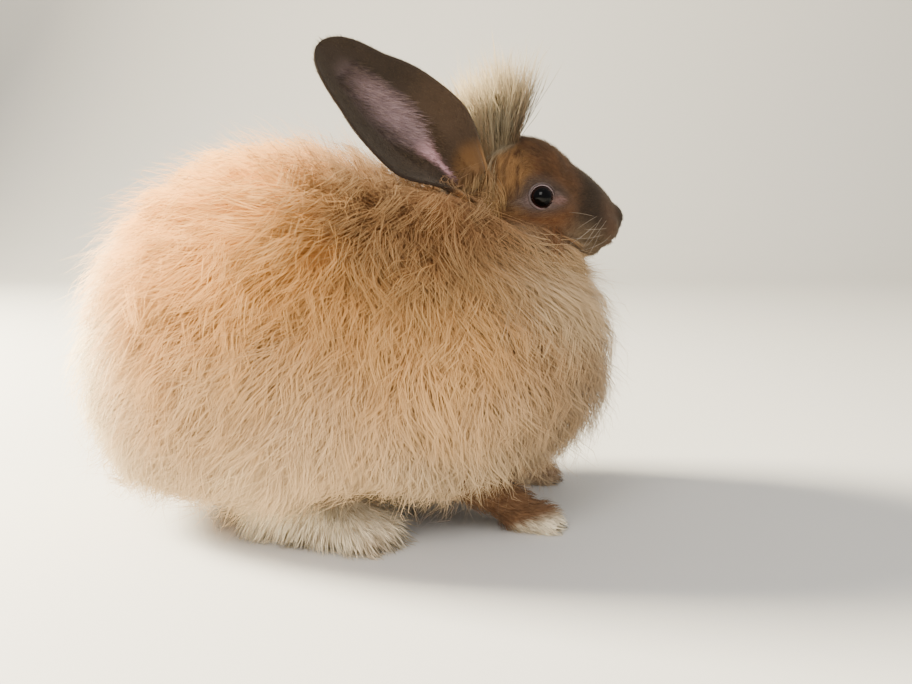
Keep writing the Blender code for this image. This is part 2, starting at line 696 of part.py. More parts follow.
def build():
    clear_scene()
    parts = bpy.data.collections.new("angora_rabbit")
    bpy.context.scene.collection.children.link(parts)
    fawn = make_material("fawn_wool", (0.62, 0.42, 0.26), 0.9)
    brown = make_material("brown_fur", (0.32, 0.17, 0.08), 0.85)
    cream = make_material("cream_wool", (0.68, 0.55, 0.42), 0.9)
    dark = make_material("eye", (0.01, 0.008, 0.008), 0.05)

    # The cores, from the named forms
    coat, torso_core = coat_egg(), coat_egg(CORE_DEPTH)
    neck_tips, neck_core = neck_egg(), neck_egg(NECK_DEPTH)
    tail_tips, tail_core = tail_egg(), tail_egg(TAIL_DEPTH)
    nodes = {
        "head": blended("head", head_eggs(), 0.0018, 6, 1080),
        "neck": egg_object("neck", neck_core, 3),
        "tail": egg_object("tail", tail_core, 2),
        "torso": egg_object("torso", torso_core, 3),
    }
    paired(blended("hind_leg", hind_leg_eggs(), 0.0022, 3, 330), "hind_leg", nodes)
    near_leg = blended("foreleg", foreleg_eggs(), 0.0017, 2, 280)
    nodes["foreleg_right"] = mirrored(near_leg, "foreleg_right")
    remove(near_leg)
    nodes["foreleg_left"] = blended("foreleg_left", foreleg_eggs(*LEFT_PAW_SHIFT), 0.0017, 2, 280)
    ears = ear_pieces()

    # The locks that grow from each core
    tufts = foot_locks(nodes["hind_leg_left"])
    wool = {
        "head": head_locks(nodes["head"]),
        "neck": fleece(neck_core, [neck_tips, coat], [coat_egg(0.027), HEAD_ROOM], **NECK_WOOL),
        "tail": fleece(tail_core, [tail_tips, coat], [torso_core], **TAIL_WOOL),
        "hind_leg_left": tufts,
        "hind_leg_right": mirrored_locks(tufts),
        "torso": fleece(torso_core, [coat], [neck_egg(0.010), tail_tips, HEAD_ROOM], **TORSO_WOOL),
    }

    # The room that each body needs, cut out of the ones under it
    room = {name: [swollen(nodes[name])] for name in nodes if name != "torso"}
    for name, locks in wool.items():
        if name in room:
            room[name] += lock_objects(locks, LOCK_SWELL)
    ear_room = [ears["room", side] for side, _ in SIDES]

    add_mouth(nodes["head"])
    combine(nodes["head"], [lid_ring(sign) for _, sign in SIDES], "UNION")
    for name, locks in wool.items():
        near_ears = copies(ear_room) if name == "head" else []
        with_wool(nodes[name], lock_objects(locks), near_ears)
    for side, sign in SIDES:
        nodes[f"eye_{side}"] = egg_object(f"eye_{side}", eye_egg(sign), 3)
        combine(nodes["head"], [egg_object("eye_room", eye_egg(sign), 2, 2 * SWELL)], "DIFFERENCE")
        nodes[f"ear_{side}"] = combine(ears["ear", side], copies(room["head"][:1]), "DIFFERENCE")
        for kind in ("hind_leg", "foreleg"):
            cut_at_floor(nodes[f"{kind}_{side}"])
    combine(nodes["neck"], copies(room["head"] + ear_room), "DIFFERENCE")
    everything = [piece for pieces in room.values() for piece in pieces] + ear_room
    combine(nodes["torso"], everything, "DIFFERENCE")

    finish = {"head": brown, "eye": dark, "ear": brown, "foreleg": brown, "hind": cream}
    for name, obj in nodes.items():
        keep_largest(obj)
        obj.name = name
        obj.data.name = name
        obj.data.materials.clear()
        obj.data.materials.append(finish.get(name.split("_")[0], fawn))
        bpy.context.scene.collection.objects.unlink(obj)
        parts.objects.link(obj)


build()
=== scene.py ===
# %% [markdown]
# # An angora rabbit
#
# A life-size model of a sitting angora rabbit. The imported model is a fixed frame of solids: a head,
# a neck, a torso, a tail, four legs, two ears and two eyes. Here those solids get their looks: one
# skin, a coat of long wool and short fur, wet dark eyes, and soft studio light.

import copy
import math

import bmesh
import bpy
import numpy as np
from mathutils import Matrix, Vector
from mathutils.bvhtree import BVHTree
from mathutils.kdtree import KDTree


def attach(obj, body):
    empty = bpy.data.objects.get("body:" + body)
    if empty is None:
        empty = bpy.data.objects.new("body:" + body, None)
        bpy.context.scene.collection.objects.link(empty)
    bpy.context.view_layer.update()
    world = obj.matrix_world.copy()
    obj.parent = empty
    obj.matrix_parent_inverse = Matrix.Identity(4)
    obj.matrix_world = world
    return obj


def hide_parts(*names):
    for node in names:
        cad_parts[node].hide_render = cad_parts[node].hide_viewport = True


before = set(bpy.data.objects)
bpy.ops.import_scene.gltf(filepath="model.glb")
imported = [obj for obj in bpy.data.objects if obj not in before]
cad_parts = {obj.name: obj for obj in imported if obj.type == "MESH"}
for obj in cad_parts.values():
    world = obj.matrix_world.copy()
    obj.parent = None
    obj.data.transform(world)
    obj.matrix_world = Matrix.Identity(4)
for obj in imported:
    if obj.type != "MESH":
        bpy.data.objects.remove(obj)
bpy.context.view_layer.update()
print("solids:", ", ".join(sorted(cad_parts)))


# %% Object helpers
def new_object(name, data):
    obj = bpy.data.objects.new(name, data)
    bpy.context.scene.collection.objects.link(obj)
    return obj


def from_bmesh(name, bm):
    mesh = bpy.data.meshes.new(name)
    bm.to_mesh(mesh)
    bm.free()
    return new_object(name, mesh)


def smooth_faces(mesh):
    mesh.polygons.foreach_set("use_smooth", np.ones(len(mesh.polygons), bool))


# %% [markdown]
# ## The camera, the lights and the floor
#
# The picture was taken from the rabbit's right side, a little above it, with a normal lens. A large
# key lamp and a fill lamp stand for the shade's daylight, and a strong warm lamp behind the rump for
# the low sun. A pale room fills the rest: wool needs light from many sides, because every hair
# throws a shadow on the next one, and a single lamp would turn the coat into a net of dark gaps.

# %% Camera
FOCAL_PIXELS = 950.0
PICTURE_WIDTH = 912.0
CAMERA_AT = (0.0665, -0.604, 0.206)
CAMERA_DOWN = math.radians(9.0)

camera_data = bpy.data.cameras.new("camera")
camera_data.sensor_width = 36.0
camera_data.lens = camera_data.sensor_width * FOCAL_PIXELS / PICTURE_WIDTH
camera_data.clip_start = 0.01
camera = new_object("camera", camera_data)
camera.location = CAMERA_AT
camera.rotation_euler = (math.pi / 2 - CAMERA_DOWN, 0.0, 0.0)
bpy.context.scene.camera = camera
print("lens:", round(camera_data.lens, 1), "mm")

# %% Lights
MIDDLE = (0.0, 0.0, 0.14)
RUMP = (-0.10, 0.0, 0.16)
# Name, place, aim, size in metres, power in watts, colour
LAMPS = [
    ("key", (-0.45, -1.35, 1.35), MIDDLE, 0.9, 24.0, (1.0, 0.97, 0.93)),
    ("fill", (1.35, -0.95, 0.65), MIDDLE, 1.4, 12.0, (0.95, 0.97, 1.0)),
    ("sun", (-1.46, 0.28, 0.98), RUMP, 0.5, 290.0, (1.0, 0.91, 0.70)),
]
ROOM_COLOUR = (0.90, 0.92, 0.95, 1.0)
ROOM_STRENGTH = 0.60

for name, place, aim, size, power, colour in LAMPS:
    data = bpy.data.lights.new(name, "AREA")
    data.size, data.energy, data.color = size, power, colour
    lamp = new_object(name, data)
    lamp.location = place
    lamp.rotation_euler = (Vector(aim) - Vector(place)).to_track_quat("-Z", "Y").to_euler()
    lamp.visible_glossy = name != "fill"  # the fill lamp would show as a second spark in the eye

world = bpy.data.worlds.new("room")
world.use_nodes = True
room = world.node_tree.nodes["Background"]
room.inputs["Color"].default_value = ROOM_COLOUR
room.inputs["Strength"].default_value = ROOM_STRENGTH
bpy.context.scene.world = world
print("lamps:", len(bpy.data.lights))

# %% [markdown]
# ## Shader maths in plain Python
#
# A material is a net of nodes, and nets are hard to read as code. This class wraps one output of a
# node, so that sums such as 1 - mask or noise * 0.5 write the Math nodes themselves. Colours go
# through Mix nodes and places through Vector Math, which keep all three numbers.


# %% A value in a shader
class Value:
    """One output of a shader node, for use in sums."""

    def __init__(self, paint, socket):
        self.paint = paint
        self.socket = socket

    def maths(self, operation, first, second):
        return self.paint.node("ShaderNodeMath", {"operation": operation}, {0: first, 1: second})

    def __add__(self, other):
        return self.maths("ADD", self, other)

    def __sub__(self, other):
        return self.maths("SUBTRACT", self, other)

    def __rsub__(self, other):
        return self.maths("SUBTRACT", other, self)

    def __mul__(self, other):
        return self.maths("MULTIPLY", self, other)

    __radd__ = __add__
    __rmul__ = __mul__


# %% A material
class Paint:
    """A material with a principled shader, and short ways to add nodes to it."""

    def __init__(self, name, roughness, **constants):
        self.material = bpy.data.materials.new(name)
        self.material.use_nodes = True
        self.tree = self.material.node_tree
        self.shader = self.tree.nodes["Principled BSDF"]
        self.shader.inputs["Roughness"].default_value = roughness
        for socket, value in constants.items():
            self.shader.inputs[socket.replace("_", " ")].default_value = value

    def put(self, socket, value):
        if isinstance(value, Value):
            self.tree.links.new(value.socket, socket)
        elif value is not None:
            socket.default_value = value

    def node(self, kind, settings=None, inputs=None, output=0):
        """Any node: its type, its settings, which are set first, and what goes into it."""
        node = self.tree.nodes.new(kind)
        for name, value in (settings or {}).items():
            setattr(node, name, value)
        for name, value in (inputs or {}).items():
            self.put(node.inputs[name], value)
        return Value(self, node.outputs[output])

    def field(self, name, output="Fac"):
        """A value that is stored on the mesh."""
        return self.node("ShaderNodeAttribute", {"attribute_name": name}, output=output)

    def mix(self, share, low, high, blend="MIX"):
        """One colour over another, by a share from 0 to 1."""
        settings = {"data_type": "RGBA", "blend_type": blend}
        return self.node("ShaderNodeMix", settings, {0: share, 6: low, 7: high}, output=2)

    def between(self, value, low, high):
        """0 below low, 1 above high, and a smooth rise between them."""
        settings = {"interpolation_type": "SMOOTHSTEP"}
        return self.node("ShaderNodeMapRange", settings, {0: value, 1: low, 2: high})

    def places(self, operation, first, second=None, output=0):
        settings = {"operation": operation}
        return self.node("ShaderNodeVectorMath", settings, {0: first, 1: second}, output=output)

    def height(self, place):
        return self.node("ShaderNodeSeparateXYZ", None, {0: place}, output=2)

    def patch(self, place, centre, reach, soft):
        """1 inside an egg-shaped patch round the centre and 0 outside, with a soft edge."""
        stretch = tuple(1 / r for r in reach)
        near = self.places("MULTIPLY", self.places("SUBTRACT", place, centre), stretch)
        return 1 - self.between(self.places("LENGTH", near, output=1), 1 - soft, 1 + soft)

    def lay(self, place, colour, patches):
        """Lays patches over a colour, each with its centre, reach, softness, share and colour."""
        for centre, reach, soft, share, over in patches:
            mask = self.patch(place, centre, reach, soft)
            colour = self.mix(mask * share if share < 1 else mask, colour, over)
        return colour

    def noise(self, place, scale, detail=2.0):
        inputs = {"Vector": place, "Scale": scale, "Detail": detail}
        return self.node("ShaderNodeTexNoise", None, inputs)

    def colour(self, value):
        self.put(self.shader.inputs["Base Color"], value)

    def bump(self, height, strength, distance):
        inputs = {"Height": height, "Strength": strength, "Distance": distance}
        self.put(self.shader.inputs["Normal"], self.node("ShaderNodeBump", None, inputs))


def shade(red, green, blue):
    """A colour as a screen shows it, from 0 to 255, turned into light."""
    light = [((c / 255 + 0.055) / 1.055) ** 2.4 for c in (red, green, blue)]
    return (*light, 1.0)


# %% Floor
FLOOR_FRONT, FLOOR_BACK, FLOOR_SIDE = -4.0, 1.6, 6.0
FLOOR_BEND, FLOOR_TOP = 0.8, 5.0


def make_floor():
    """A pale floor that curves up far behind the model, so that no edge shows."""
    rows = [(FLOOR_FRONT, 0.0)]
    rows += [(FLOOR_BACK + math.sin(angle) * FLOOR_BEND, FLOOR_BEND - math.cos(angle) * FLOOR_BEND)
             for angle in np.linspace(0, 1.57, 12)]
    rows.append((FLOOR_BACK + FLOOR_BEND, FLOOR_TOP))
    bm = bmesh.new()
    left, right = ([bm.verts.new((side, y, z)) for y, z in rows] for side in (-FLOOR_SIDE, FLOOR_SIDE))
    for low in range(len(rows) - 1):
        bm.faces.new((left[low], right[low], right[low + 1], left[low + 1]))
    floor = from_bmesh("floor", bm)
    smooth_faces(floor.data)
    paint = Paint("pale_floor", 0.8)
    paint.colour(shade(214, 211, 205))
    floor.data.materials.append(paint.material)


make_floor()
print("floor made")

# %% [markdown]
# ## The named forms
#
# The solids were shaped from eggs: rounded bodies with their own reach forwards, backwards,
# sideways, up and down. The same sizes are written again here, so that the skin lies where the
# cores of the solids are, and the tips of the wool end where the solids' locks end.


# %% Eggs
PLAN_POWER, SIDE_POWER = 2.25, 2.2  # 2 gives an ellipse, and more gives a fuller curve
BELLY_POWER, BELLY_EASE = 3.4, 0.7  # the coat's underside is flatter, and most so at the rump


def smooth_share(value, low, high):
    share = np.clip((value - low) / (high - low), 0.0, 1.0)
    return share * share * (3 - 2 * share)


def unit(ways):
    return ways / np.maximum(np.linalg.norm(ways, axis=-1, keepdims=True), 1e-9)


class Egg:
    """A rounded body; its methods take many points at once, one a row."""

    def __init__(self, x, y, z, *reach, pitch=0, yaw=0, slope=None):
        self.centre = np.array((x, y, z), float)
        self.reach = reach
        turn = Matrix.Rotation(math.radians(yaw), 3, "Z") @ Matrix.Rotation(math.radians(pitch), 3, "Y")
        self.turn = np.array(turn)
        self.slope = slope

    def less(self, depth):
        """The same egg, smaller by a depth on every side."""
        smaller = copy.copy(self)
        smaller.reach = [r - depth for r in self.reach]
        return smaller

    def at(self, ways):
        """The points of the surface that lie those ways from the centre."""
        front, rear, side, up, down = self.reach
        x, y, z = ways.T
        flat = np.abs(x / np.where(x > 0, front, rear)) ** PLAN_POWER + np.abs(y / side) ** PLAN_POWER
        flat = flat ** (1 / PLAN_POWER)
        under = BELLY_POWER - BELLY_EASE * x if self.slope else SIDE_POWER
        power = np.where(z > 0, SIDE_POWER, under)
        tall = np.abs(z) / np.where(z > 0, up, down)
        points = ways * ((flat**power + tall**power) ** (-1 / power))[:, None]
        if self.slope:
            start, end, drop = self.slope
            fall = 1 - drop * smooth_share(points[:, 0] + self.centre[0], start, end)
            points[:, 2] *= np.where(points[:, 2] > 0, fall, 1.0)
        return self.centre + points @ self.turn.T

    def ways_to(self, points):
        return unit((points - self.centre) @ self.turn)

    def share_out(self, points):
        """How far out each point lies: 0 at the centre, 1 on the surface."""
        reach = np.linalg.norm(self.at(self.ways_to(points)) - self.centre, axis=1)
        return np.linalg.norm(points - self.centre, axis=1) / reach


# %% The body's and the head's forms
COAT = Egg(-0.002, 0, 0.112, 0.172, 0.170, 0.118, 0.134, 0.102, slope=(-0.045, 0.100, 0.32))
NECK = Egg(0.052, 0, 0.178, 0.052, 0.056, 0.074, 0.048, 0.058, pitch=-14)
TAIL = Egg(-0.142, 0, 0.068, 0.034, 0.030, 0.034, 0.034, 0.034)
CORES = [COAT.less(0.023), NECK.less(0.017), TAIL.less(0.012)]
CHEEK = Egg(0.116, 0, 0.164, 0.034, 0.044, 0.052, 0.024, 0.032)

HEAD = [
    Egg(0.1080, 0, 0.2090, 0.032, 0.032, 0.0255, 0.0305, 0.034, pitch=10),
    Egg(0.0880, 0, 0.2040, 0.026, 0.024, 0.0240, 0.0260, 0.028),
    Egg(0.1390, 0, 0.1985, 0.036, 0.036, 0.0180, 0.0205, 0.021, pitch=40),
    Egg(0.1280, 0, 0.1870, 0.032, 0.032, 0.0200, 0.0190, 0.019, pitch=22),
    Egg(0.1270, 0, 0.2165, 0.016, 0.016, 0.0120, 0.0140, 0.012, pitch=42),
    Egg(0.1610, 0, 0.1895, 0.0115, 0.014, 0.0100, 0.0105, 0.010),
    Egg(0.1450, 0, 0.1735, 0.014, 0.020, 0.0110, 0.0090, 0.0085, pitch=10),
]
for sign in (1, -1):
    HEAD += [
        Egg(0.1130, 0.0110 * sign, 0.1920, 0.031, 0.028, 0.0170, 0.024, 0.026),
        Egg(0.1530, 0.0080 * sign, 0.1840, 0.0155, 0.018, 0.0105, 0.012, 0.0105),
        Egg(0.1150, 0.0135 * sign, 0.2140, 0.017, 0.017, 0.0100, 0.009, 0.009),
    ]
print("head made of", len(HEAD), "eggs")

# %% The legs' forms
HIND_YAW = 16.6
HIND_TOE_GAP, FORE_TOE_GAP = 0.0085, 0.0056
LEFT_PAW_SHIFT = (0.008, 0.012, 0.0)


def hind_leg(sign):
    """A hind leg on the left, for sign 1, or on the right: a long flat foot, and the hock behind it."""
    yaw = HIND_YAW * sign
    eggs = [
        Egg(-0.044, 0.050 * sign, 0.015, 0.020, 0.016, 0.014, 0.016, 0.018, yaw=yaw),
        Egg(-0.014, 0.059 * sign, 0.015, 0.036, 0.034, 0.016, 0.020, 0.018, yaw=yaw),
        Egg(0.000, 0.0635 * sign, 0.012, 0.024, 0.026, 0.0175, 0.016, 0.015, yaw=yaw),
        Egg(-0.030, 0.056 * sign, 0.044, 0.024, 0.024, 0.017, 0.030, 0.034, pitch=28),
    ]
    turn = math.radians(HIND_YAW)
    for index in range(4):
        across = (index - 1.5) * HIND_TOE_GAP
        ahead = 0.023 - 0.004 * abs(index - 1.2)
        x = -0.001 + ahead * math.cos(turn) - across * math.sin(turn)
        y = 0.063 + ahead * math.sin(turn) + across * math.cos(turn)
        eggs.append(Egg(x, y * sign, 0.008, 0.011, 0.012, 0.0055, 0.0075, 0.011, yaw=yaw))
    return eggs


def foreleg(sign):
    """A foreleg: the forearm laid forwards, and the paw on the floor. The left one is further out."""
    eggs = [
        Egg(0.062, 0.036 * sign, 0.042, 0.024, 0.022, 0.0145, 0.020, 0.022, pitch=35),
        Egg(0.088, 0.039 * sign, 0.022, 0.030, 0.030, 0.0115, 0.012, 0.012, pitch=22),
        Egg(0.112, 0.042 * sign, 0.0080, 0.018, 0.020, 0.0115, 0.0100, 0.010, yaw=5 * sign),
    ]
    for index in range(4):
        across = (index - 1.5) * FORE_TOE_GAP
        x, y = 0.1250 - 0.0025 * abs(index - 1.4), 0.0430 + across
        yaw = (5 + math.degrees(across * 12)) * sign
        eggs.append(Egg(x, y * sign, 0.0060, 0.008, 0.009, 0.0036, 0.0056, 0.008, yaw=yaw))
    if sign > 0:
        for egg in eggs:
            egg.centre += LEFT_PAW_SHIFT
    return eggs


HIND_LEGS = [egg for sign in (1, -1) for egg in hind_leg(sign)]
FORELEGS = [egg for sign in (1, -1) for egg in foreleg(sign)]
print("legs made of", len(HIND_LEGS) + len(FORELEGS), "eggs")

# %% [markdown]
# ## The skin
#
# One skin replaces all the solids of flesh, so no seam shows. Overlapping eggs are melted together
# with a voxel remesh and smoothed, as flesh lies over bone. The head is melted finer than the body,
# because it carries the lips and the nose, and the body is hidden by wool.


# %% Mesh helpers
def apply_modifiers(obj):
    graph = bpy.context.evaluated_depsgraph_get()
    mesh = bpy.data.meshes.new_from_object(obj.evaluated_get(graph))
    obj.modifiers.clear()
    obj.data = mesh


def points_of(obj, key="co"):
    """The places of the object's vertices as rows of numbers, or their normals."""
    flat = np.empty(len(obj.data.vertices) * 3, np.float32)
    obj.data.vertices.foreach_get(key, flat)
    return flat.reshape(-1, 3).astype(float)


def set_points(obj, points):
    obj.data.vertices.foreach_set("co", points.astype(np.float32).ravel())
    obj.data.update()


def change_faces(obj, change):
    """Runs one mesh operation on all the faces of an object."""
    bm = bmesh.new()
    bm.from_mesh(obj.data)
    change(bm, faces=bm.faces)
    bm.to_mesh(obj.data)
    bm.free()


def melted(name, eggs, voxel, rounds, depth=0.0):
    """One smooth body from eggs that overlap, a little smaller than they are."""
    bm = bmesh.new()
    for egg in eggs:
        made = bmesh.ops.create_icosphere(bm, subdivisions=5, radius=1.0)
        ways = unit(np.array([vert.co for vert in made["verts"]]))
        for vert, point in zip(made["verts"], egg.at(ways)):
            vert.co = point
    obj = from_bmesh(name, bm)
    remesh = obj.modifiers.new("remesh", "REMESH")
    remesh.mode = "VOXEL"
    remesh.voxel_size = voxel
    smooth = obj.modifiers.new("smooth", "SMOOTH")
    smooth.factor = 0.5
    smooth.iterations = rounds
    apply_modifiers(obj)
    set_points(obj, points_of(obj) - points_of(obj, "normal") * depth)
    return obj


def combine(obj, pieces, operation):
    """Joins closed pieces to the object, or cuts them from it, in one step."""
    helpers = bpy.data.collections.new("helpers")
    bpy.context.scene.collection.children.link(helpers)
    for piece in pieces:
        bpy.context.scene.collection.objects.unlink(piece)
        helpers.objects.link(piece)
    modifier = obj.modifiers.new(operation, "BOOLEAN")
    modifier.operation = operation
    modifier.operand_type = "COLLECTION"
    modifier.collection = helpers
    modifier.solver = "MANIFOLD"
    apply_modifiers(obj)
    for piece in pieces:
        bpy.data.objects.remove(piece)
    bpy.data.collections.remove(helpers)


# %% [markdown]
# The head's small folds are pressed into its fine mesh: each vertex near a line moves inwards, most
# on the line itself. That gives soft creases, as in living skin, where a sharp cut would look like
# carved wood.

# %% Head
FLESH_DEPTH = 0.0010  # how far the skin of the head and the legs lies under the solids
HEAD_VOXEL, BODY_VOXEL, HIND_VOXEL, FORE_VOXEL = 0.0010, 0.0030, 0.0014, 0.0012
MOUTH_MIDDLE = Vector((0.1480, 0.0, 0.1765))
MOUTH_SPREAD = math.radians(100)
UPPER_LIP, LOWER_LIP = (-0.0004, 0, 0.0022), (-0.0006, 0, -0.0020)
NOSTRIL = np.array([(0.1655, 0.0062, 0.1862), (0.1690, 0.0048, 0.1885), (0.1702, 0.0026, 0.1868)])
NOSTRIL_RIM = (0, 0, 0.0020)


def away_from_line(points, line):
    """Each point's distance to a line of joined points."""
    best = np.full(len(points), np.inf)
    for start, end in zip(line[:-1], line[1:]):
        along = end - start
        share = np.clip((points - start) @ along / (along @ along), 0.0, 1.0)
        best = np.minimum(best, np.linalg.norm(points - start - share[:, None] * along, axis=1))
    return best


def press(obj, line, width, depth):
    """Presses a soft crease into the surface along a line, or raises a fold if depth is negative."""
    points = points_of(obj)
    share = np.exp(-((away_from_line(points, line) / width) ** 2))
    set_points(obj, points - points_of(obj, "normal") * (share * depth)[:, None])


def make_head():
    head = melted("head_skin", HEAD, HEAD_VOXEL, 16, FLESH_DEPTH)
    bm = bmesh.new()
    bm.from_mesh(head.data)
    tree = BVHTree.FromBMesh(bm)
    bm.free()

    def cast(ways):
        return np.array([tree.ray_cast(MOUTH_MIDDLE, Vector(way).normalized())[0] for way in ways])

    angles = [MOUTH_SPREAD * index / 8 for index in range(-8, 9)]
    mouth = cast([(math.cos(a), math.sin(a), -0.10 * abs(a) / MOUTH_SPREAD) for a in angles])
    cleft = cast([(1.0, 0.0, 0.05 + 0.12 * index) for index in range(5)])
    press(head, mouth + UPPER_LIP, 0.0020, -0.0006)
    press(head, mouth + LOWER_LIP, 0.0018, -0.0006)
    press(head, mouth, 0.0011, 0.0022)
    press(head, cleft, 0.0009, 0.0014)
    for sign in (1, -1):
        nostril = NOSTRIL * (1, sign, 1)
        press(head, nostril, 0.0009, 0.0020)
        press(head, nostril[:2] + NOSTRIL_RIM, 0.0014, -0.0005)
    return head


head_skin = make_head()
print("head:", len(head_skin.data.polygons), "faces")

# %% [markdown]
# ## The ears
#
# An ear is a leaf, rolled into a tube at its root and open towards its tip. It is drawn as a grid
# of points bent round a curve whose radius grows along the ear, and then given its thickness, which
# tapers off at the tip. The grid's own coordinates, how far along and how far across, are kept,
# because the pink middle and the dark margins follow them.

# %% Ear
EAR_ROOT = np.array((0.0740, 0.0170, 0.2060))
EAR_TIP = np.array((-0.0085, 0.0560, 0.2880))
EAR_OPENS = np.array((0.22, 0.95, 0.30))
EAR_WIDTH, EAR_THICK = 0.0325, 0.0020
EAR_BOW, EAR_BACK = 0.0065, 0.0080  # how far its line bows sideways and backwards
EAR_ROWS, EAR_COLUMNS = 44, 26
EAR_TAPER_ROWS = 8


def ear_grid():
    """The middle sheet of the left ear: places, how far along, how far across, and the cup's way."""
    axis = unit(EAR_TIP - EAR_ROOT)
    length = np.linalg.norm(EAR_TIP - EAR_ROOT)
    opens = unit(EAR_OPENS - axis * (EAR_OPENS @ axis))
    side = np.cross(opens, axis)
    along = np.sin(np.pi / 2 * np.arange(EAR_ROWS + 1) / EAR_ROWS)[:, None]
    across = (2 * np.arange(EAR_COLUMNS + 1) / EAR_COLUMNS - 1)[None, :]
    curl = 2.25 - 1.35 * smooth_share(along, 0.0, 0.36) - 0.25 * along
    swell_out = 0.84 + 0.24 * np.sin(np.pi * np.minimum(1.0, along * 1.35))
    closing = np.sqrt(np.maximum(0.0, 1 - np.maximum(0.0, (along - 0.45) / 0.5503) ** 2.2))
    radius = EAR_WIDTH * swell_out * closing / curl
    angle = across * curl
    bow = EAR_BOW * np.sin(np.pi * along**0.6)
    bend = -EAR_BACK * np.sin(np.pi * along) - 0.006
    ruffle = 0.0007 * np.sin(along * 19 + across * 2) * np.abs(across) ** 3
    out = radius * (1 - np.cos(angle)) + bend + ruffle
    places = EAR_ROOT + axis * (length * along)[..., None]
    places = places + side * (radius * np.sin(angle) + bow)[..., None] + opens * out[..., None]
    facing = opens * np.cos(angle)[..., None] - side * np.sin(angle)[..., None]
    along, across = np.broadcast_arrays(along, across)
    return places, along, across, facing


EAR_PLACES, EAR_ALONG, EAR_ACROSS, EAR_FACING = ear_grid()


def make_ear(sign):
    bm = bmesh.new()
    grid = [[bm.verts.new(point) for point in row] for row in EAR_PLACES * (1, sign, 1)]
    for low, high in zip(grid, grid[1:]):
        for index in range(EAR_COLUMNS):
            bm.faces.new((low[index], low[index + 1], high[index + 1], high[index]))
    ear = from_bmesh("ear_skin", bm)
    thick = ear.vertex_groups.new(name="thick")
    wide = EAR_COLUMNS + 1
    for row in range(EAR_ROWS + 1):
        share = min(1.0, (EAR_ROWS - row) / EAR_TAPER_ROWS)
        thick.add(list(range(row * wide, (row + 1) * wide)), share, "REPLACE")
    solidify = ear.modifiers.new("thickness", "SOLIDIFY")
    solidify.thickness = EAR_THICK
    solidify.offset = 0.0
    solidify.vertex_group = "thick"
    solidify.thickness_vertex_group = 0.15
    ear.modifiers.new("smooth", "SMOOTH").iterations = 3
    apply_modifiers(ear)
    change_faces(ear, bmesh.ops.recalc_face_normals)
    return ear


ears = [make_ear(sign) for sign in (1, -1)]
print("ears:", [len(ear.data.polygons) for ear in ears], "faces")

# %% [markdown]
# Now the pieces are joined: body, head, legs and ears become one closed surface. The sockets of the
# eyes are cut from it, and the soles are cut flat where they stand on the floor.

# %% Join the skin
EYE_RADIUS = 0.0082
EYE_CENTRE = np.array((0.1180, 0.0212, 0.2025))
EYE_LOOKS = unit(np.array((0.22, 0.95, 0.12)))
SOCKET_ROOM = 0.0004


def ball(name, centre, radius, detail):
    bm = bmesh.new()
    spot = Matrix.Translation(centre)
    bmesh.ops.create_icosphere(bm, subdivisions=detail, radius=radius, matrix=spot)
    return from_bmesh(name, bm)


def make_skin():
    skin = melted("skin", CORES, BODY_VOXEL, 6)
    legs = [melted("leg", hind_leg(sign), HIND_VOXEL, 6, FLESH_DEPTH) for sign in (1, -1)]
    legs += [melted("leg", foreleg(sign), FORE_VOXEL, 5, FLESH_DEPTH) for sign in (1, -1)]
    combine(skin, [head_skin, *ears, *legs], "UNION")
    ground_block = bmesh.new()
    bmesh.ops.create_cube(ground_block, size=1.0, matrix=Matrix.Translation((0, 0, -0.5)))
    room = EYE_RADIUS + SOCKET_ROOM
    sockets = [ball("socket", EYE_CENTRE * (1, sign, 1), room, 5) for sign in (1, -1)]
    combine(skin, [from_bmesh("block", ground_block), *sockets], "DIFFERENCE")
    change_faces(skin, bmesh.ops.triangulate)
    smooth_faces(skin.data)
    return skin


skin = make_skin()
print("skin:", len(skin.data.polygons), "faces")

# %% [markdown]
# The skin is unwrapped once. Every tuft of the coat will borrow a tiny patch of this unwrap at its
# own root, so a colour that is baked for the skin can be baked for the coat as well.

# %% Unwrap the skin
bpy.context.view_layer.objects.active = skin
skin.select_set(True)
skin.data.uv_layers.new(name="OFBake")
bpy.ops.object.mode_set(mode="EDIT")
bpy.ops.mesh.select_all(action="SELECT")
bpy.ops.uv.smart_project(angle_limit=math.radians(66), island_margin=0.002)
bpy.ops.object.mode_set(mode="OBJECT")
skin.select_set(False)
print("unwrap:", len(skin.data.uv_layers), "map")


# %% Read the skin's triangles
class Ground:
    """The skin's triangles as arrays, for planting tufts on them."""

    def __init__(self, obj):
        mesh = obj.data
        count = len(mesh.polygons)
        corners = np.empty(count * 3, np.int32)
        mesh.loops.foreach_get("vertex_index", corners)
        self.corners = corners.reshape(-1, 3)
        self.points = points_of(obj)
        self.normals = points_of(obj, "normal")
        flat = np.empty(count * 6, np.float32)
        mesh.uv_layers["OFBake"].data.foreach_get("uv", flat)
        self.uvs = flat.reshape(-1, 3, 2)
        a, b, c = (self.points[self.corners[:, k]] for k in range(3))
        self.area = np.linalg.norm(np.cross(b - a, c - a), axis=1) / 2
        self.middle = (a + b + c) / 3

    def plant(self, draw, count, density):
        """Places for roots: points, normals and patches, thicker where the density is higher."""
        chance = self.area * density
        picked = draw.choice(len(chance), size=count, p=chance / chance.sum())
        first, second = np.sqrt(draw.random(count)), draw.random(count)
        parts = np.stack([1 - first, first * (1 - second), first * second], axis=1)[..., None]
        corners = self.corners[picked]
        points = (self.points[corners] * parts).sum(axis=1)
        normals = unit((self.normals[corners] * parts).sum(axis=1))
        uvs = (self.uvs[picked] * parts).sum(axis=1)
        return points, normals, uvs, picked


ground = Ground(skin)
print("skin area:", round(ground.area.sum() * 1e4), "square centimetres")

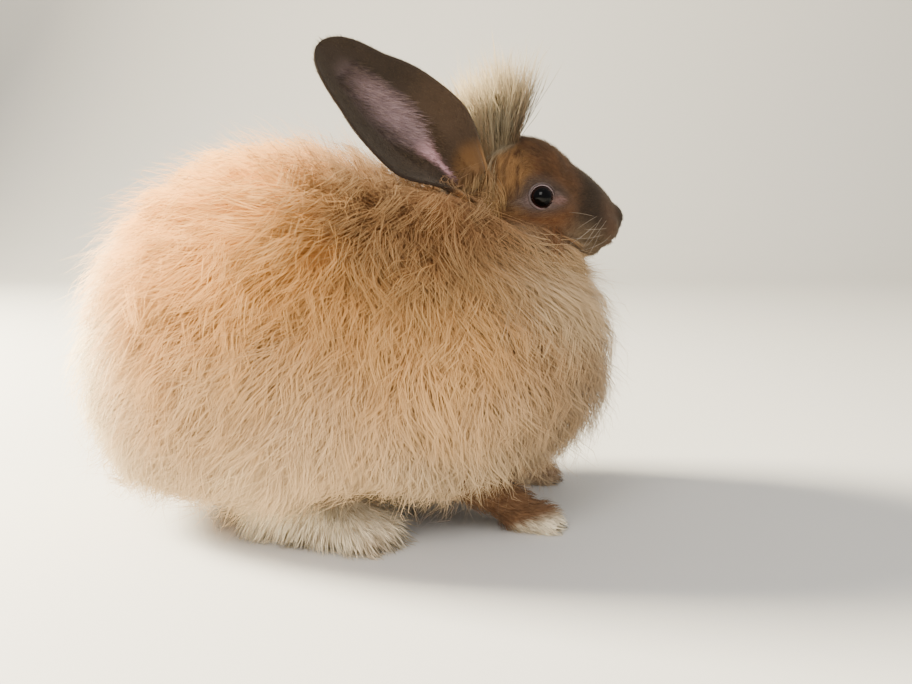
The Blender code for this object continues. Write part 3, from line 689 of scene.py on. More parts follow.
# %% [markdown]
# ## Where each kind of coat grows
#
# Each triangle of the skin belongs to the egg that it lies nearest to, which tells head from body
# and leg. An ear's triangles are found by their nearest point on the ear's own grid, which also
# says how far along and across the ear they lie, and on which face.

# %% Regions of the skin
GROUPS = [CORES, HEAD, HIND_LEGS, FORELEGS]


def nearest_group(points):
    """For each point, the number of the group whose egg it lies nearest to."""
    shares = [np.min([egg.share_out(points) for egg in eggs], axis=0) for eggs in GROUPS]
    return np.argmin(shares, axis=0)


def tree_of(points):
    tree = KDTree(len(points))
    for index, point in enumerate(points):
        tree.insert(point, index)
    tree.balance()
    return tree


def folded(points):
    """Points of both sides brought to the left side."""
    left = points.copy()
    left[..., 1] = np.abs(left[..., 1])
    return left


def ear_fields(points):
    """Which points lie on an ear and in its cup, and how far along and across it they lie."""
    places, facing = EAR_PLACES.reshape(-1, 3), EAR_FACING.reshape(-1, 3)
    points = folded(points)
    tree = tree_of(places)
    found = [tree.find(point) for point in points]
    index = np.array([hit[1] for hit in found])
    near = np.array([hit[2] for hit in found]) < EAR_THICK * 1.6
    inside = ((points - places[index]) * facing[index]).sum(axis=1) > 0
    return near, near & inside, EAR_ALONG.ravel()[index], EAR_ACROSS.ravel()[index]


group = nearest_group(ground.middle)
on_ear, in_cup, ear_along, ear_across = ear_fields(ground.middle)
BODY, ON_HEAD, HIND, FORE = ((group == number) & ~on_ear for number in range(4))
print("faces:", [int(mask.sum()) for mask in (BODY, ON_HEAD, HIND, FORE, on_ear)])


# %% Fields on the skin
def add_field(mesh, name, values, kind="FLOAT"):
    layer = mesh.attributes.new(name, kind, "POINT")
    key = "vector" if kind == "FLOAT_VECTOR" else "value"
    layer.data.foreach_set(key, np.asarray(values, np.float32).ravel())


def cup_share(inside, along, across):
    """How pink the inside of the ear is: broad in its middle, and a narrow slit near its root."""
    opened = smooth_share(along, 0.16, 0.50)
    off_middle = np.abs(across + 0.08 - 0.04 * opened)
    middle = 1 - smooth_share(off_middle, 0.015 + 0.095 * opened, 0.09 + 0.43 * opened)
    front = 0.62 + 0.38 * smooth_share(across, -0.40, 0.05)
    return inside * middle * front * (1 - smooth_share(along, 0.60, 0.92))


def dress_skin():
    """Fields for the skin's colour: as at the root under wool, with the root's painted shade, and
    further out under short fur.
    """
    points = ground.points
    near, inside, along, across = ear_fields(points)
    where = nearest_group(points)
    add_field(skin.data, "root", points, "FLOAT_VECTOR")
    add_field(skin.data, "cup", cup_share(inside, along, across))
    add_field(skin.data, "ear", near * smooth_share(along, 0.03, 0.13))
    add_field(skin.data, "head", where == 1)
    # Under wool the skin takes the darker colour of a root: painted shade under the wool.
    add_field(skin.data, "along", np.where((where != 0) | near, 0.75, 0.15))
    add_field(skin.data, "tone", np.full(len(points), 0.5))


dress_skin()
print("fields:", [layer.name for layer in skin.data.attributes if not layer.is_internal][:8])

# %% [markdown]
# ## Colours of the coat
#
# Skin and coat share one recipe, which reads the place of the root: apricot fawn on the back and
# shoulders, pale cream below and on the cheeks, chestnut on the face and the forearms, dark ears
# with a pink middle, and a dark band across the muzzle. Part of it is painted light: the face, the
# nape, the crest and the shoulders are darker than their own colours as painted shade, the chest,
# the belly and the ruff under the chin carry painted shade, and the rump and the hind feet are paler
# as painted sunlight. The place is folded onto one side, so both sides match, apart from the left
# forepaw, which has less cream. Each tuft then turns a little lighter or darker, and body wool turns
# darker still where a billow sinks, as painted shade. Its tip is paler than its root, and the root is
# darkened as painted shade deep in the wool, which gives wool its depth.

# %% Colours
APRICOT, FAWN, TAWNY_AND_PAINTED_SHADE = shade(238, 166, 78), shade(204, 152, 94), shade(136, 98, 62)
# The brightest cream is partly painted sunlight on the rump and the hind feet; on the forepaws' toes it
# is their own cream.
CREAM, CREAM_AND_PAINTED_SUN, TIP_GOLD = shade(214, 186, 150), shade(255, 240, 206), shade(238, 204, 146)
# Ash darkens the chest and the belly: painted shade on the coat's front and underside.
ASH_AND_PAINTED_SHADE, RUFF_PAINTED_SHADE = shade(140, 119, 98), shade(128, 110, 88)
# Nape wool, crest wool, chestnut, russet, the temple's tan, the muzzle and the grey ring are darker
# than their own colours: partly painted shade on the head.
NAPE_WOOL, CHEEK_WOOL, CREST_WOOL = shade(122, 92, 60), shade(190, 163, 130), shade(144, 132, 108)
CHESTNUT, RUSSET, TEMPLE = shade(76, 51, 33), shade(108, 71, 44), shade(140, 104, 66)
MUZZLE, BAND, NOSE_DARK = shade(76, 57, 44), shade(36, 29, 25), shade(38, 28, 23)
GREY_RING, LID_GREY, CORNER_PINK = shade(76, 64, 59), shade(108, 92, 90), shade(140, 106, 101)
SMOKE, BROWN, TAN = shade(42, 34, 29), shade(78, 61, 47), shade(122, 88, 52)
EAR_PINK, SLIT_PINK = shade(138, 117, 122), shade(196, 154, 162)
ARM_BROWN = shade(118, 86, 60)

# Patches: centre, reach, softness, share and colour
BODY_PATCHES = [
    ((-0.070, 0, 0.220), (0.130, 0.120, 0.090), 0.5, 0.80, APRICOT),  # back
    # The shoulders: tawny wool, darker as painted shade.
    ((0.045, 0.050, 0.205), (0.060, 0.080, 0.050), 0.5, 0.90, TAWNY_AND_PAINTED_SHADE),  # shoulders
    # The chest: painted shade.
    ((0.150, 0, 0.080), (0.080, 0.100, 0.080), 0.5, 0.85, ASH_AND_PAINTED_SHADE),  # chest
    ((0.120, 0.020, 0.158), (0.050, 0.070, 0.030), 0.35, 0.85, CHEEK_WOOL),  # throat
    # The rump: pale wool, paler still as painted sunlight.
    ((-0.170, 0, 0.120), (0.060, 0.120, 0.080), 0.5, 0.85, CREAM_AND_PAINTED_SUN),  # rump
    # The belly: painted shade.
    ((-0.060, 0, 0.020), (0.120, 0.100, 0.040), 0.5, 0.35, ASH_AND_PAINTED_SHADE),  # belly
]
HEAD_UNDER = [
    ((0.124, 0.020, 0.184), (0.030, 0.030, 0.014), 0.5, 0.9, RUSSET),  # under the eye
    # The nape: wool painted darker, partly as shade.
    ((0.078, 0, 0.205), (0.024, 0.060, 0.040), 0.3, 0.9, NAPE_WOOL),  # nape
]
HEAD_OVER = [
    # The crest: greyish cream, darker as painted shade.
    ((0.0875, 0, 0.247), (0.0225, 0.022, 0.026), 0.15, 1, CREST_WOOL),  # crest
    ((0.1195, 0.026, 0.2040), (0.0190, 0.012, 0.0115), 0.35, 0.9, GREY_RING),  # round the eye
    ((0.1195, 0.026, 0.2015), (0.0130, 0.012, 0.0058), 0.35, 0.8, LID_GREY),  # close to the eye
    ((0.1300, 0.022, 0.2006), (0.0038, 0.012, 0.0026), 0.4, 0.55, CORNER_PINK),  # its front corner
    ((0.170, 0, 0.190), (0.035, 0.050, 0.044), 0.45, 1, MUZZLE),  # muzzle
    ((0.150, 0.012, 0.190), (0.0085, 0.030, 0.034), 0.6, 0.9, BAND),  # band across it
    ((0.173, 0, 0.190), (0.0085, 0.012, 0.015), 0.4, 0.95, NOSE_DARK),  # nose
    ((0.100, 0, 0.1465), (0.056, 0.100, 0.041), 0.13, 1, CHEEK_WOOL),  # cheeks
    # Under the chin: painted shade on the front of the ruff.
    ((0.143, 0.020, 0.162), (0.018, 0.030, 0.022), 0.5, 0.8, RUFF_PAINTED_SHADE),  # under the chin
]
TEMPLE_PATCH = ((0.101, 0.024, 0.212), (0.014, 0.020, 0.024), 0.35)
LEG_PATCHES = [
    ((0.100, 0.046, 0.026), (0.062, 0.032, 0.034), 0.15, 1, ARM_BROWN),  # forearms
    # The hind feet: cream, paler as painted sunlight.
    ((-0.020, 0.060, 0.010), (0.056, 0.034, 0.026), 0.3, 0.9, CREAM_AND_PAINTED_SUN),  # hind feet
    ((0.124, 0.044, -0.001), (0.024, 0.018, 0.013), 0.25, 1, CREAM_AND_PAINTED_SUN),  # toes of the forepaws
]
LEFT_PAW = [((0.128, 0.056, 0.012), (0.030, 0.020, 0.016), 0.3, 0.85, ARM_BROWN)]
HOCK = [((0.004, 0.074, 0.030), (0.022, 0.020, 0.0125), 0.35, 0.6, BROWN)]
EAR_PATCHES = [
    ((0.060, 0.030, 0.245), (0.026, 0.030, 0.030), 0.6, 0.6, BROWN),  # front margin
    ((0.074, 0.028, 0.222), (0.012, 0.020, 0.014), 0.4, 0.8, TAN),  # in front of the root
]
EAR_SLIT = [((0.057, 0.030, 0.222), (0.018, 0.030, 0.016), 0.5, 1, SLIT_PINK)]


# %% Markings
def body_colour(paint, place):
    """Fawn above and cream below, with a soft uneven border, and apricot on the back."""
    drift = paint.noise(place, 26.0) * 0.06
    colour = paint.mix(paint.between(paint.height(place) + drift, 0.080, 0.190), CREAM, FAWN)
    return paint.lay(place, colour, BODY_PATCHES)


def head_colour(paint, place):
    """Mottled chestnut with streaks of tan on the temples, and the patches of the face, with the face's
    colours partly darkened as painted shade.
    """
    mottle = paint.between(paint.noise(place, 130.0, 3.0), 0.38, 0.66)
    colour = paint.mix(mottle, CHESTNUT, paint.mix(0.5, CHESTNUT, RUSSET))
    colour = paint.lay(place, colour, HEAD_UNDER)
    streak = paint.noise(paint.places("MULTIPLY", place, (1.0, 1.0, 0.10)), 420.0)
    temple = paint.patch(place, *TEMPLE_PATCH) * paint.between(streak, 0.40, 0.56)
    return paint.lay(place, paint.mix(temple, colour, TEMPLE), HEAD_OVER)


def markings(paint):
    """The coat's colour for a root, from its place with both sides folded onto one."""
    root = paint.field("root", "Vector")
    along = paint.places("MULTIPLY", root, (1.0, 0.0, 1.0))
    across = paint.places("MULTIPLY", paint.places("ABSOLUTE", root), (0.0, 1.0, 0.0))
    place = paint.places("ADD", along, across)
    colour = paint.lay(place, body_colour(paint, place), LEG_PATCHES)
    colour = paint.lay(place, paint.lay(root, colour, LEFT_PAW), HOCK)
    colour = paint.mix(paint.field("head"), colour, head_colour(paint, place))
    ear = paint.lay(place, SMOKE, EAR_PATCHES)
    ear = paint.mix(paint.field("cup"), ear, paint.lay(place, EAR_PINK, EAR_SLIT))
    return paint.mix(paint.field("ear"), colour, ear)


def coat_colour(paint, root_painted_shade, tip_light, low, high):
    """The markings, darker towards the root as painted shade deep in the coat, paler towards the tip,
    and uneven from tuft to tuft.
    """
    colour = markings(paint)
    along, tone = paint.field("along"), paint.field("tone")
    # Towards the root the colour is darkened: painted shade deep in the coat.
    deep = paint.mix(1.0, colour, root_painted_shade, "MULTIPLY")
    colour = paint.mix(paint.between(along, 0.0, 0.55), deep, colour)
    colour = paint.mix(paint.between(along, 0.45, 1.0) * tip_light, colour, TIP_GOLD)
    dark = paint.mix(1.0, colour, low, "MULTIPLY")
    light = paint.mix(1.0, colour, high, "MULTIPLY")
    return paint.mix(tone, dark, light)


# %% Coat materials
WOOL_TONES = (0.86, 0.80, 0.74, 1.0), (1.14, 1.12, 1.08, 1.0)
SHORT_TONES = (0.64, 0.60, 0.57, 1.0), (1.42, 1.40, 1.38, 1.0)
SHEEN = dict(Sheen_Weight=0.14, Sheen_Roughness=0.6, Sheen_Tint=(1.0, 0.88, 0.70, 1.0))


def fur_paint(name, root_painted_shade, tip_light, roughness, tones):
    paint = Paint(name, roughness, Specular_IOR_Level=0.10, **SHEEN)
    paint.colour(coat_colour(paint, root_painted_shade, tip_light, *tones))
    return paint


# The second number is the root's painted shade: how much darker the colour turns at the root.
wool_paint = fur_paint("angora_wool", (0.92, 0.85, 0.77, 1.0), 0.24, 0.85, WOOL_TONES)
short_paint = fur_paint("short_fur", (0.72, 0.66, 0.60, 1.0), 0.08, 0.7, SHORT_TONES)
skin_paint = fur_paint("skin_fur", (0.80, 0.70, 0.60, 1.0), 0.0, 0.8, SHORT_TONES)
skin_paint.bump(skin_paint.noise(skin_paint.field("root", "Vector"), 900.0, 3.0), 0.5, 0.0006)
skin.data.materials.clear()
skin.data.materials.append(skin_paint.material)
print("materials:", [material.name for material in bpy.data.materials if material.users][:8])

# %% [markdown]
# ## Growing tufts
#
# A tuft is a thin, three-sided spike that leaves the skin, bends over and runs on along the lie of
# the coat. Thousands of them are computed at once as arrays: a smooth curve from root to tip, then a
# pull towards the middle of its clump, then a wave. Neighbours in a clump share their wave, which is
# what makes wool fall in locks instead of standing like grass. The vertex normals lean towards the
# normal of the whole coat, so light slides over the wool softly instead of sparkling on each spike.

# %% Tufts
PATCH = 0.003  # how much of the unwrap a tuft borrows


def curves(root, normal, tip, rise, shares, sink):
    """A smooth curve for each tuft, from under the skin to its tip."""
    start = root - normal * sink
    bend = root + normal * np.reshape(rise, (-1, 1)) + (tip - root) * 0.45
    s = shares[None, :, None]
    start, bend, tip = start[:, None], bend[:, None], tip[:, None]
    return start * (1 - s) ** 2 + bend * 2 * s * (1 - s) + tip * s**2


def tuft_triangles(rings):
    """The triangles of one tuft, by the numbers of its corners."""
    tris = [(0, 1, 2)]
    for low in range(0, (rings - 1) * 3, 3):
        for k in range(3):
            after = (k + 1) % 3
            tris += [(low + k, low + 3 + after, low + after), (low + k, low + 3 + k, low + 3 + after)]
    last = (rings - 1) * 3
    tris += [(last + (k + 1) % 3, last + k, rings * 3) for k in range(3)]
    return np.array(tris)


def tuft_mesh(name, spine, width, shares, faces, soft, root, uv, fields, flat=0.5):
    """A mesh of closed three-sided tufts along their spines."""
    count, rings = spine.shape[0], spine.shape[1] - 1
    ahead = unit(np.diff(spine, axis=1))
    side = unit(np.cross(ahead, faces[:, None]))
    out = np.cross(side, ahead)
    # Widest a little above the root, and slimmer towards the tip
    taper = np.sin(np.pi * (0.22 + 0.78 * (1 - shares[:-1]) * 0.62))[None, :, None]
    half = np.reshape(width, (-1, 1, 1)) / 2 * taper
    base, across, up = spine[:, :-1], side * half, out * half * flat
    ring = np.stack([base + across - up * 0.5, base + up, base - across - up * 0.5], axis=2)
    points = np.concatenate([ring.reshape(count, -1, 3), spine[:, -1:]], axis=1)
    own = np.stack([side - out * 0.3, out, -side - out * 0.3], axis=2).reshape(count, -1, 3)
    own = np.concatenate([own, ahead[:, -1:]], axis=1)
    normals = unit(own * (1 - soft) + faces[:, None] * soft)
    size = rings * 3 + 1
    index = (tuft_triangles(rings)[None] + (np.arange(count) * size)[:, None, None]).reshape(-1)
    mesh = bpy.data.meshes.new(name)
    mesh.vertices.add(count * size)
    mesh.vertices.foreach_set("co", points.astype(np.float32).ravel())
    mesh.loops.add(len(index))
    mesh.loops.foreach_set("vertex_index", index.astype(np.int32))
    mesh.polygons.add(len(index) // 3)
    mesh.polygons.foreach_set("loop_start", np.arange(0, len(index), 3, dtype=np.int32))
    mesh.update(calc_edges=True)
    smooth_faces(mesh)
    along = np.append(np.repeat(shares[:-1], 3), 1.0)
    across = np.append(np.tile((0.0, 0.5, 1.0), rings), 0.5)
    local = np.stack([along - 0.5, across - 0.5], axis=1) * PATCH
    patch = (uv[:, None] + local[None]).reshape(-1, 2)
    layer = mesh.uv_layers.new(name="OFBake")
    layer.data.foreach_set("uv", patch[index].astype(np.float32).ravel())
    add_field(mesh, "root", np.repeat(root, size, axis=0), "FLOAT_VECTOR")
    add_field(mesh, "along", np.tile(along, count))
    for key, values in fields.items():
        add_field(mesh, key, np.repeat(values, size))
    mesh.normals_split_custom_set_from_vertices(normals.reshape(-1, 3))
    return mesh


def tuft_fields(tone, head=0.0, cup=0.0, ear=0.0):
    """What the coat's colours need to know about each tuft, besides the place of its root."""
    values = {"tone": tone, "head": head, "cup": cup, "ear": ear}
    return {name: np.broadcast_to(value, len(tone)) for name, value in values.items()}


def coat_piece(mesh, paint):
    obj = new_object(mesh.name, mesh)
    mesh.materials.append(paint.material)
    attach(obj, "root")
    print(mesh.name, len(mesh.polygons))


# %% Clumps
WAVE_TURNS = 0.8


class Clumps:
    """The middles that tufts lean towards, each with its own random numbers."""

    def __init__(self, draw, points, count):
        pick = draw.choice(len(points), size=min(count, len(points)), replace=False)
        tree = tree_of(points[pick])
        number = np.array([tree.find(point)[1] for point in points])
        self.head = pick[number]
        self.chance = draw.random((len(pick), 6))[number]


def clumped(spine, shares, clumps, strength):
    """Pulls each spine towards the spine of its clump's middle, most at the tip."""
    pull = (np.reshape(strength, (-1, 1)) * shares[None] ** 1.3)[..., None]
    return spine + (spine[clumps.head] - spine) * pull


def waved(spine, shares, faces, clumps, draw, size):
    """Bends each spine from side to side, alike within a clump."""
    ahead = unit(spine[:, -1:] - spine[:, :1])
    side = unit(np.cross(ahead, faces[:, None]))
    phase = clumps.chance[:, 0:1] * 2 * np.pi + draw.normal(0, 0.35, (len(spine), 1))
    turned = shares[None] * (WAVE_TURNS * (0.7 + 0.6 * clumps.chance[:, 1:2])) * 2 * np.pi
    swing = np.sin(phase + turned) - np.sin(phase)
    lift = np.cos(phase * 1.7 + turned) - np.cos(phase * 1.7)
    grow = (shares[None] ** 1.2) * np.reshape(size, (-1, 1))
    return spine + side * (swing * grow)[..., None] + faces[:, None] * (lift * grow * 0.5)[..., None]


# %% [markdown]
# The ears lie on the wool, so no wool may hang in front of their cups. A tuft is in the way when it
# touches an ear, or when it passes beside it, seen from the side. Body wool that does so is drawn
# back towards its root, which hides it under the ear, and head wool that does so is left out.

# %% Room for the ears
EAR_TOUCH = 0.0030
EAR_BESIDE = 0.0038
FREE_ROWS = 5  # rows of the ear's grid at its root that wool may cover


def crosses_ears(root, spine):
    """Which tufts touch an ear, or pass beside it where they would hide its cup."""
    places = EAR_PLACES[FREE_ROWS:].reshape(-1, 3)
    solid, outline = tree_of(places), tree_of(places * (1, 0, 1))
    near = (root[:, 0] > -0.06) & (root[:, 2] > 0.13)
    parts = folded(spine[near, 1:])
    crosses = []
    for x, y, z in parts.reshape(-1, 3):
        _, index, gap = outline.find((x, 0.0, z))
        beside = gap < EAR_BESIDE and y > places[index, 1]
        crosses.append(beside or solid.find((x, y, z))[2] < EAR_TOUCH)
    result = np.zeros(len(root), bool)
    result[near] = np.array(crosses).reshape(len(parts), -1).any(axis=1)
    return result


# %% [markdown]
# ## The long wool
#
# Angora wool fans out from the nape: back over the rump, down the flanks and forwards over the
# chest, and its own weight turns it downwards. It grows in two layers: long locks that clump, and
# shorter fluff between them with more strays. Each tuft's tip is moved out until it lies on the
# coat's outer form, some a little deeper and a few beyond it, so that the outline is soft and wispy
# but true in size. Billows, larger than clumps, turn and lift whole areas of it alike.
# Where a billow sinks, its wool is painted darker, as shade in the hollow.

# %% Lie of the wool
WOOL_FROM = np.array((0.066, 0.0, 0.225))
FALL = 0.32
LOCK_SHARES = (0.0, 0.36, 0.70, 1.0)
LOCKS = dict(seed=11, count=30000, clump_count=1700, length=0.044, rise=0.012, sway=0.18, deep=0.012,
             strays=0.06, hold=0.66, wave=0.0074, width=0.00048, shares=LOCK_SHARES)
FLUFF = dict(seed=12, count=38000, clump_count=4500, length=0.030, rise=0.009, sway=0.50, deep=0.009,
             strays=0.20, hold=0.30, wave=0.0072, width=0.00042, shares=(0.0, 0.55, 1.0))
MOST_A_PIECE = 12000
STRAY_REACH = 0.009
DRAWN_BACK = 0.5  # the share that is left of a tuft that would cross an ear
LOWEST_WOOL, LOWEST_TIP, FOOT_TOP = 0.003, 0.004, 0.030
TOES_AT, TOES_REACH = 0.004, 0.034  # along the body
TOES_INSIDE, TOES_OUTSIDE = 0.036, 0.046  # from its middle


def body_lie(points, normals):
    away = unit(points - WOOL_FROM) + np.array((0.0, 0.0, -FALL))
    return flat_on(away, normals)


def flat_on(ways, normals, share=1.0):
    """The ways, laid flat on the surface by a share."""
    return unit(ways - normals * (ways * normals).sum(axis=1, keepdims=True) * share)


def on_outer_form(points, eggs, depth):
    """Moves points out to the surface of the egg that they lie deepest in, less a depth."""
    deepest = np.argmin([egg.share_out(points) for egg in eggs], axis=0)
    moved = points.copy()
    for number, egg in enumerate(eggs):
        mine = deepest == number
        if mine.any():
            surface = egg.at(egg.ways_to(points[mine]))
            share = 1 - depth[mine] / np.linalg.norm(surface - egg.centre, axis=1)
            moved[mine] = egg.centre + (surface - egg.centre) * share[:, None]
    return moved


# %% Billows
BILLOW_COUNT = 320
BILLOW_BORDER = 0.0035


class Billows:
    """Soft swells in the wool: numbers that run smoothly from place to place."""

    def __init__(self, seed, points, count):
        draw = np.random.default_rng(seed)
        self.middles = points[draw.choice(len(points), size=count, replace=False)]
        self.chance = draw.random((count, 2))

    def chance_at(self, points):
        """The numbers of the nearest middles, blended over the border between them."""
        square = (points**2).sum(axis=1)[:, None] + (self.middles**2).sum(axis=1)[None]
        far = np.sqrt(np.maximum(square - 2 * points @ self.middles.T, 0.0))
        weight = np.exp(-((far - far.min(axis=1, keepdims=True)) / BILLOW_BORDER))
        return (weight @ self.chance) / weight.sum(axis=1, keepdims=True)


billows = Billows(13, ground.middle[BODY], BILLOW_COUNT)
print("billows:", BILLOW_COUNT)


# %% Wool of the body
def above_feet(tip):
    """How high each tip has to stay: over a hind foot above its toes, and elsewhere off the floor."""
    over = smooth_share(TOES_REACH - np.abs(tip[:, 0] - TOES_AT), 0.0, 0.012)
    beside = smooth_share(np.abs(tip[:, 1]), TOES_INSIDE, TOES_OUTSIDE)
    return LOWEST_TIP + FOOT_TOP * over * beside


def body_wool(seed, count, clump_count, length, rise, sway, deep, strays, hold, wave, width, shares):
    """One layer of the wool; deep is how far under the outer form its tips may end."""
    draw = np.random.default_rng(seed)
    shares = np.array(shares)
    thick_above = 1 - 0.45 * smooth_share(-ground.middle[:, 2], -0.045, -0.015)
    root, normal, uv, _ = ground.plant(draw, count, BODY * thick_above)
    clumps = Clumps(draw, root, clump_count)
    turn_share, sink_share = billows.chance_at(root).T
    lie = body_lie(root, normal)
    side = np.cross(lie, normal)
    reach = length * (0.85 + 0.3 * clumps.chance[:, 2]) * draw.uniform(0.80, 1.15, count)
    reach *= 1 - 0.35 * smooth_share(normal[:, 2], 0.2, 0.9)  # shorter on the back
    turn = (clumps.chance[:, 3] - 0.5) * 0.7 + (turn_share - 0.5) * 0.9 + draw.normal(0, sway, count)
    tip = root + lie * reach[:, None] + side * (reach * turn)[:, None]
    depth = deep * draw.random(count) ** 1.5 + 0.005 * clumps.chance[:, 4] + 0.014 * sink_share - 0.005
    stray = draw.random(count) < strays
    depth = np.where(stray, -STRAY_REACH * draw.random(count), depth)
    tip = on_outer_form(tip, [COAT, NECK, TAIL], depth)
    tip[:, 2] = np.maximum(tip[:, 2], above_feet(tip))
    spine = curves(root, normal, tip, rise * (0.75 + 0.5 * clumps.chance[:, 5]), shares, 0.002)
    holds = np.where(stray, 0.05, hold * (0.4 + 0.8 * clumps.chance[:, 4]))
    spine = clumped(spine, shares, clumps, holds)
    spine = waved(spine, shares, normal, clumps, draw, wave * np.where(stray, 1.5, 1.0))
    blocked = crosses_ears(root, spine)
    spine[blocked] = spine[blocked, :1] + (spine[blocked] - spine[blocked, :1]) * DRAWN_BACK
    spine[..., 2] = np.maximum(spine[..., 2], LOWEST_WOOL)
    thick = width * draw.uniform(0.6, 1.25, count) * np.where(stray, 0.5, 1.0)
    outer = unit((root - COAT.centre) / np.array(COAT.reach)[[0, 2, 3]] ** 2)
    # Tufts of a billow that sinks deeper are darker: painted shade in the hollows of the wool, on top
    # of a random tone per clump.
    tone = 0.5 + (clumps.chance[:, 0] - 0.5) * 0.5 + (0.5 - sink_share) * 0.7
    tone = tone + draw.normal(0, 0.14, count)
    return root, uv, spine, thick, outer, np.clip(tone, 0, 1)


def split_by_place(root):
    """The wool in pieces of a handy size: rump, back, chest, belly and flanks."""
    x, y, z = root.T
    name = np.where(y > 0, "flank_left", "flank_right").astype("<U16")
    name[z > 0.185] = "back"
    name[x > 0.095] = "chest"
    name[x < -0.105] = "rump"
    name[z < 0.05] = "belly"
    for place in np.unique(name):
        mine = np.flatnonzero(name == place)
        mine = mine[np.argsort(root[mine, 0])]
        for number, some in enumerate(np.array_split(mine, math.ceil(len(mine) / MOST_A_PIECE))):
            yield f"{place}_{number + 1}", some


for layer, sizes in (("wool", LOCKS), ("fluff", FLUFF)):
    root, uv, spine, width, outer, tone = body_wool(**sizes)
    for place, some in split_by_place(root):
        mesh = tuft_mesh(f"{layer}_{place}", spine[some], width[some], np.array(sizes["shares"]),
                         outer[some], 0.86, root[some], uv[some], tuft_fields(tone[some]))
        coat_piece(mesh, wool_paint)

# %% [markdown]
# ## Cheeks, nape and crest
#
# Long cream wool hangs from the cheeks and the throat, shorter wool falls down behind the temples,
# and a tuft stands up between the ears and fans out to both sides.

# %% Wool of the head
HEAD_MIDDLE = np.array((0.105, 0.0, 0.195))


def head_wool(name, seed, count, places, lie_of, length, rise, clump_count, width, wave, spread,
              tips=None):
    """Long wool on a part of the head; tips is the outer form that it reaches, if there is one."""
    draw = np.random.default_rng(seed)
    shares = np.array(LOCK_SHARES)
    root, normal, uv, _ = ground.plant(draw, count, places.astype(float))
    clumps = Clumps(draw, root, clump_count)
    lie = lie_of(root, normal, clumps)
    size = length * draw.uniform(0.65, 1.1, count) * (0.85 + 0.3 * clumps.chance[:, 2])
    tip = root + lie * size[:, None] + draw.normal(0, spread, (count, 3)) * size[:, None]
    if tips:
        depth = 0.006 * draw.random(count) - 0.001
        short = tips.share_out(tip) < 1.0
        tip = np.where(short[:, None], on_outer_form(tip, [tips], depth), tip)
    spine = curves(root, normal, tip, np.full(count, rise), shares, 0.001)
    spine = clumped(spine, shares, clumps, np.full(count, 0.40))
    spine = waved(spine, shares, normal, clumps, draw, np.full(count, wave))
    soft = unit(normal * 0.6 + unit(root - HEAD_MIDDLE) * 0.4)
    tone = np.clip(0.5 + (clumps.chance[:, 0] - 0.5) * 0.4 + draw.normal(0, 0.15, count), 0, 1)
    thick = width * draw.uniform(0.6, 1.2, count)
    free = ~crosses_ears(root, spine)
    fields = tuft_fields(tone[free], head=1.0)
    mesh = tuft_mesh(name, spine[free], thick[free], shares, soft[free], 0.7,
                     root[free], uv[free], fields)
    coat_piece(mesh, wool_paint)


def hanging(points, ahead, down):
    """Ways that run ahead, outwards to the side and down."""
    side = np.sign(points[:, 1])
    return np.stack([np.full(len(points), ahead), 0.30 * side, np.full(len(points), down)], axis=1)


def cheek_lie(points, normals, clumps):
    """Forwards and down on the side of the head, and backwards under the muzzle."""
    ways = hanging(points, 0.45, -0.70)
    ways[:, 0] -= 1.1 * smooth_share(points[:, 0], 0.116, 0.140)
    ways = ways + (clumps.chance[:, 3:4] - 0.5) * np.array((0.5, 0.0, 0.3))
    return flat_on(ways, normals, 0.7)


def nape_lie(points, normals, clumps):
    ways = hanging(points, -0.18, -0.80)
    ways = ways + (clumps.chance[:, 3:4] - 0.5) * np.array((0.5, 0.0, 0.3))
    return flat_on(ways, normals, 0.8)


def crest_lie(points, normals, clumps):
    """Up, leaning backwards at the rear and a little forwards at the front."""
    share = np.clip((points[:, 0] - 0.074) / 0.030, 0, 1)
    angle = np.radians(128 - 44 * share + (clumps.chance[:, 3] - 0.5) * 30)
    side = points[:, 1] / 0.016 * 0.30 + (clumps.chance[:, 5] - 0.5) * 0.3
    return unit(np.stack([np.cos(angle), side, np.sin(angle)], axis=1))


x, y, z = ground.middle.T
cheek_top = 0.1862 - 0.9 * np.maximum(0.0, x - 0.130)
cheeks = ON_HEAD & (z < cheek_top) & (x < 0.1460) & (x > 0.085)
crest = (ON_HEAD | BODY) & (z > 0.220) & (x > 0.070) & (x < 0.1040) & (np.abs(y) < 0.014)
ear_root = on_ear & (ear_along < 0.045) & ~in_cup
nape = (ON_HEAD & (x < 0.0920) & ~crest & (z < 0.234)) | ear_root
head_wool("wool_cheeks", 21, 8000, cheeks, cheek_lie, 0.034, 0.009, 700, 0.00048, 0.0020, 0.18, CHEEK)
head_wool("wool_crest", 22, 4200, crest, crest_lie, 0.048, 0.004, 360, 0.00040, 0.0042, 0.17)
head_wool("wool_nape", 23, 3000, nape, nape_lie, 0.024, 0.005, 320, 0.00046, 0.0018, 0.12)

# %% [markdown]
# ## Short fur
#
# On the face, the ears and the feet the fur is short and lies flat. The skin's own bump shows most
# of it; small tufts on top break up the outline. They lie away from the nose on the head, towards
# the tip on the ears and towards the toes on the feet.

# %% Growing short fur
SHORT_SHARES = (0.0, 0.5, 1.0)
SPIKE_SHARES = (0.0, 1.0)
FLOOR_GAP = 0.0008


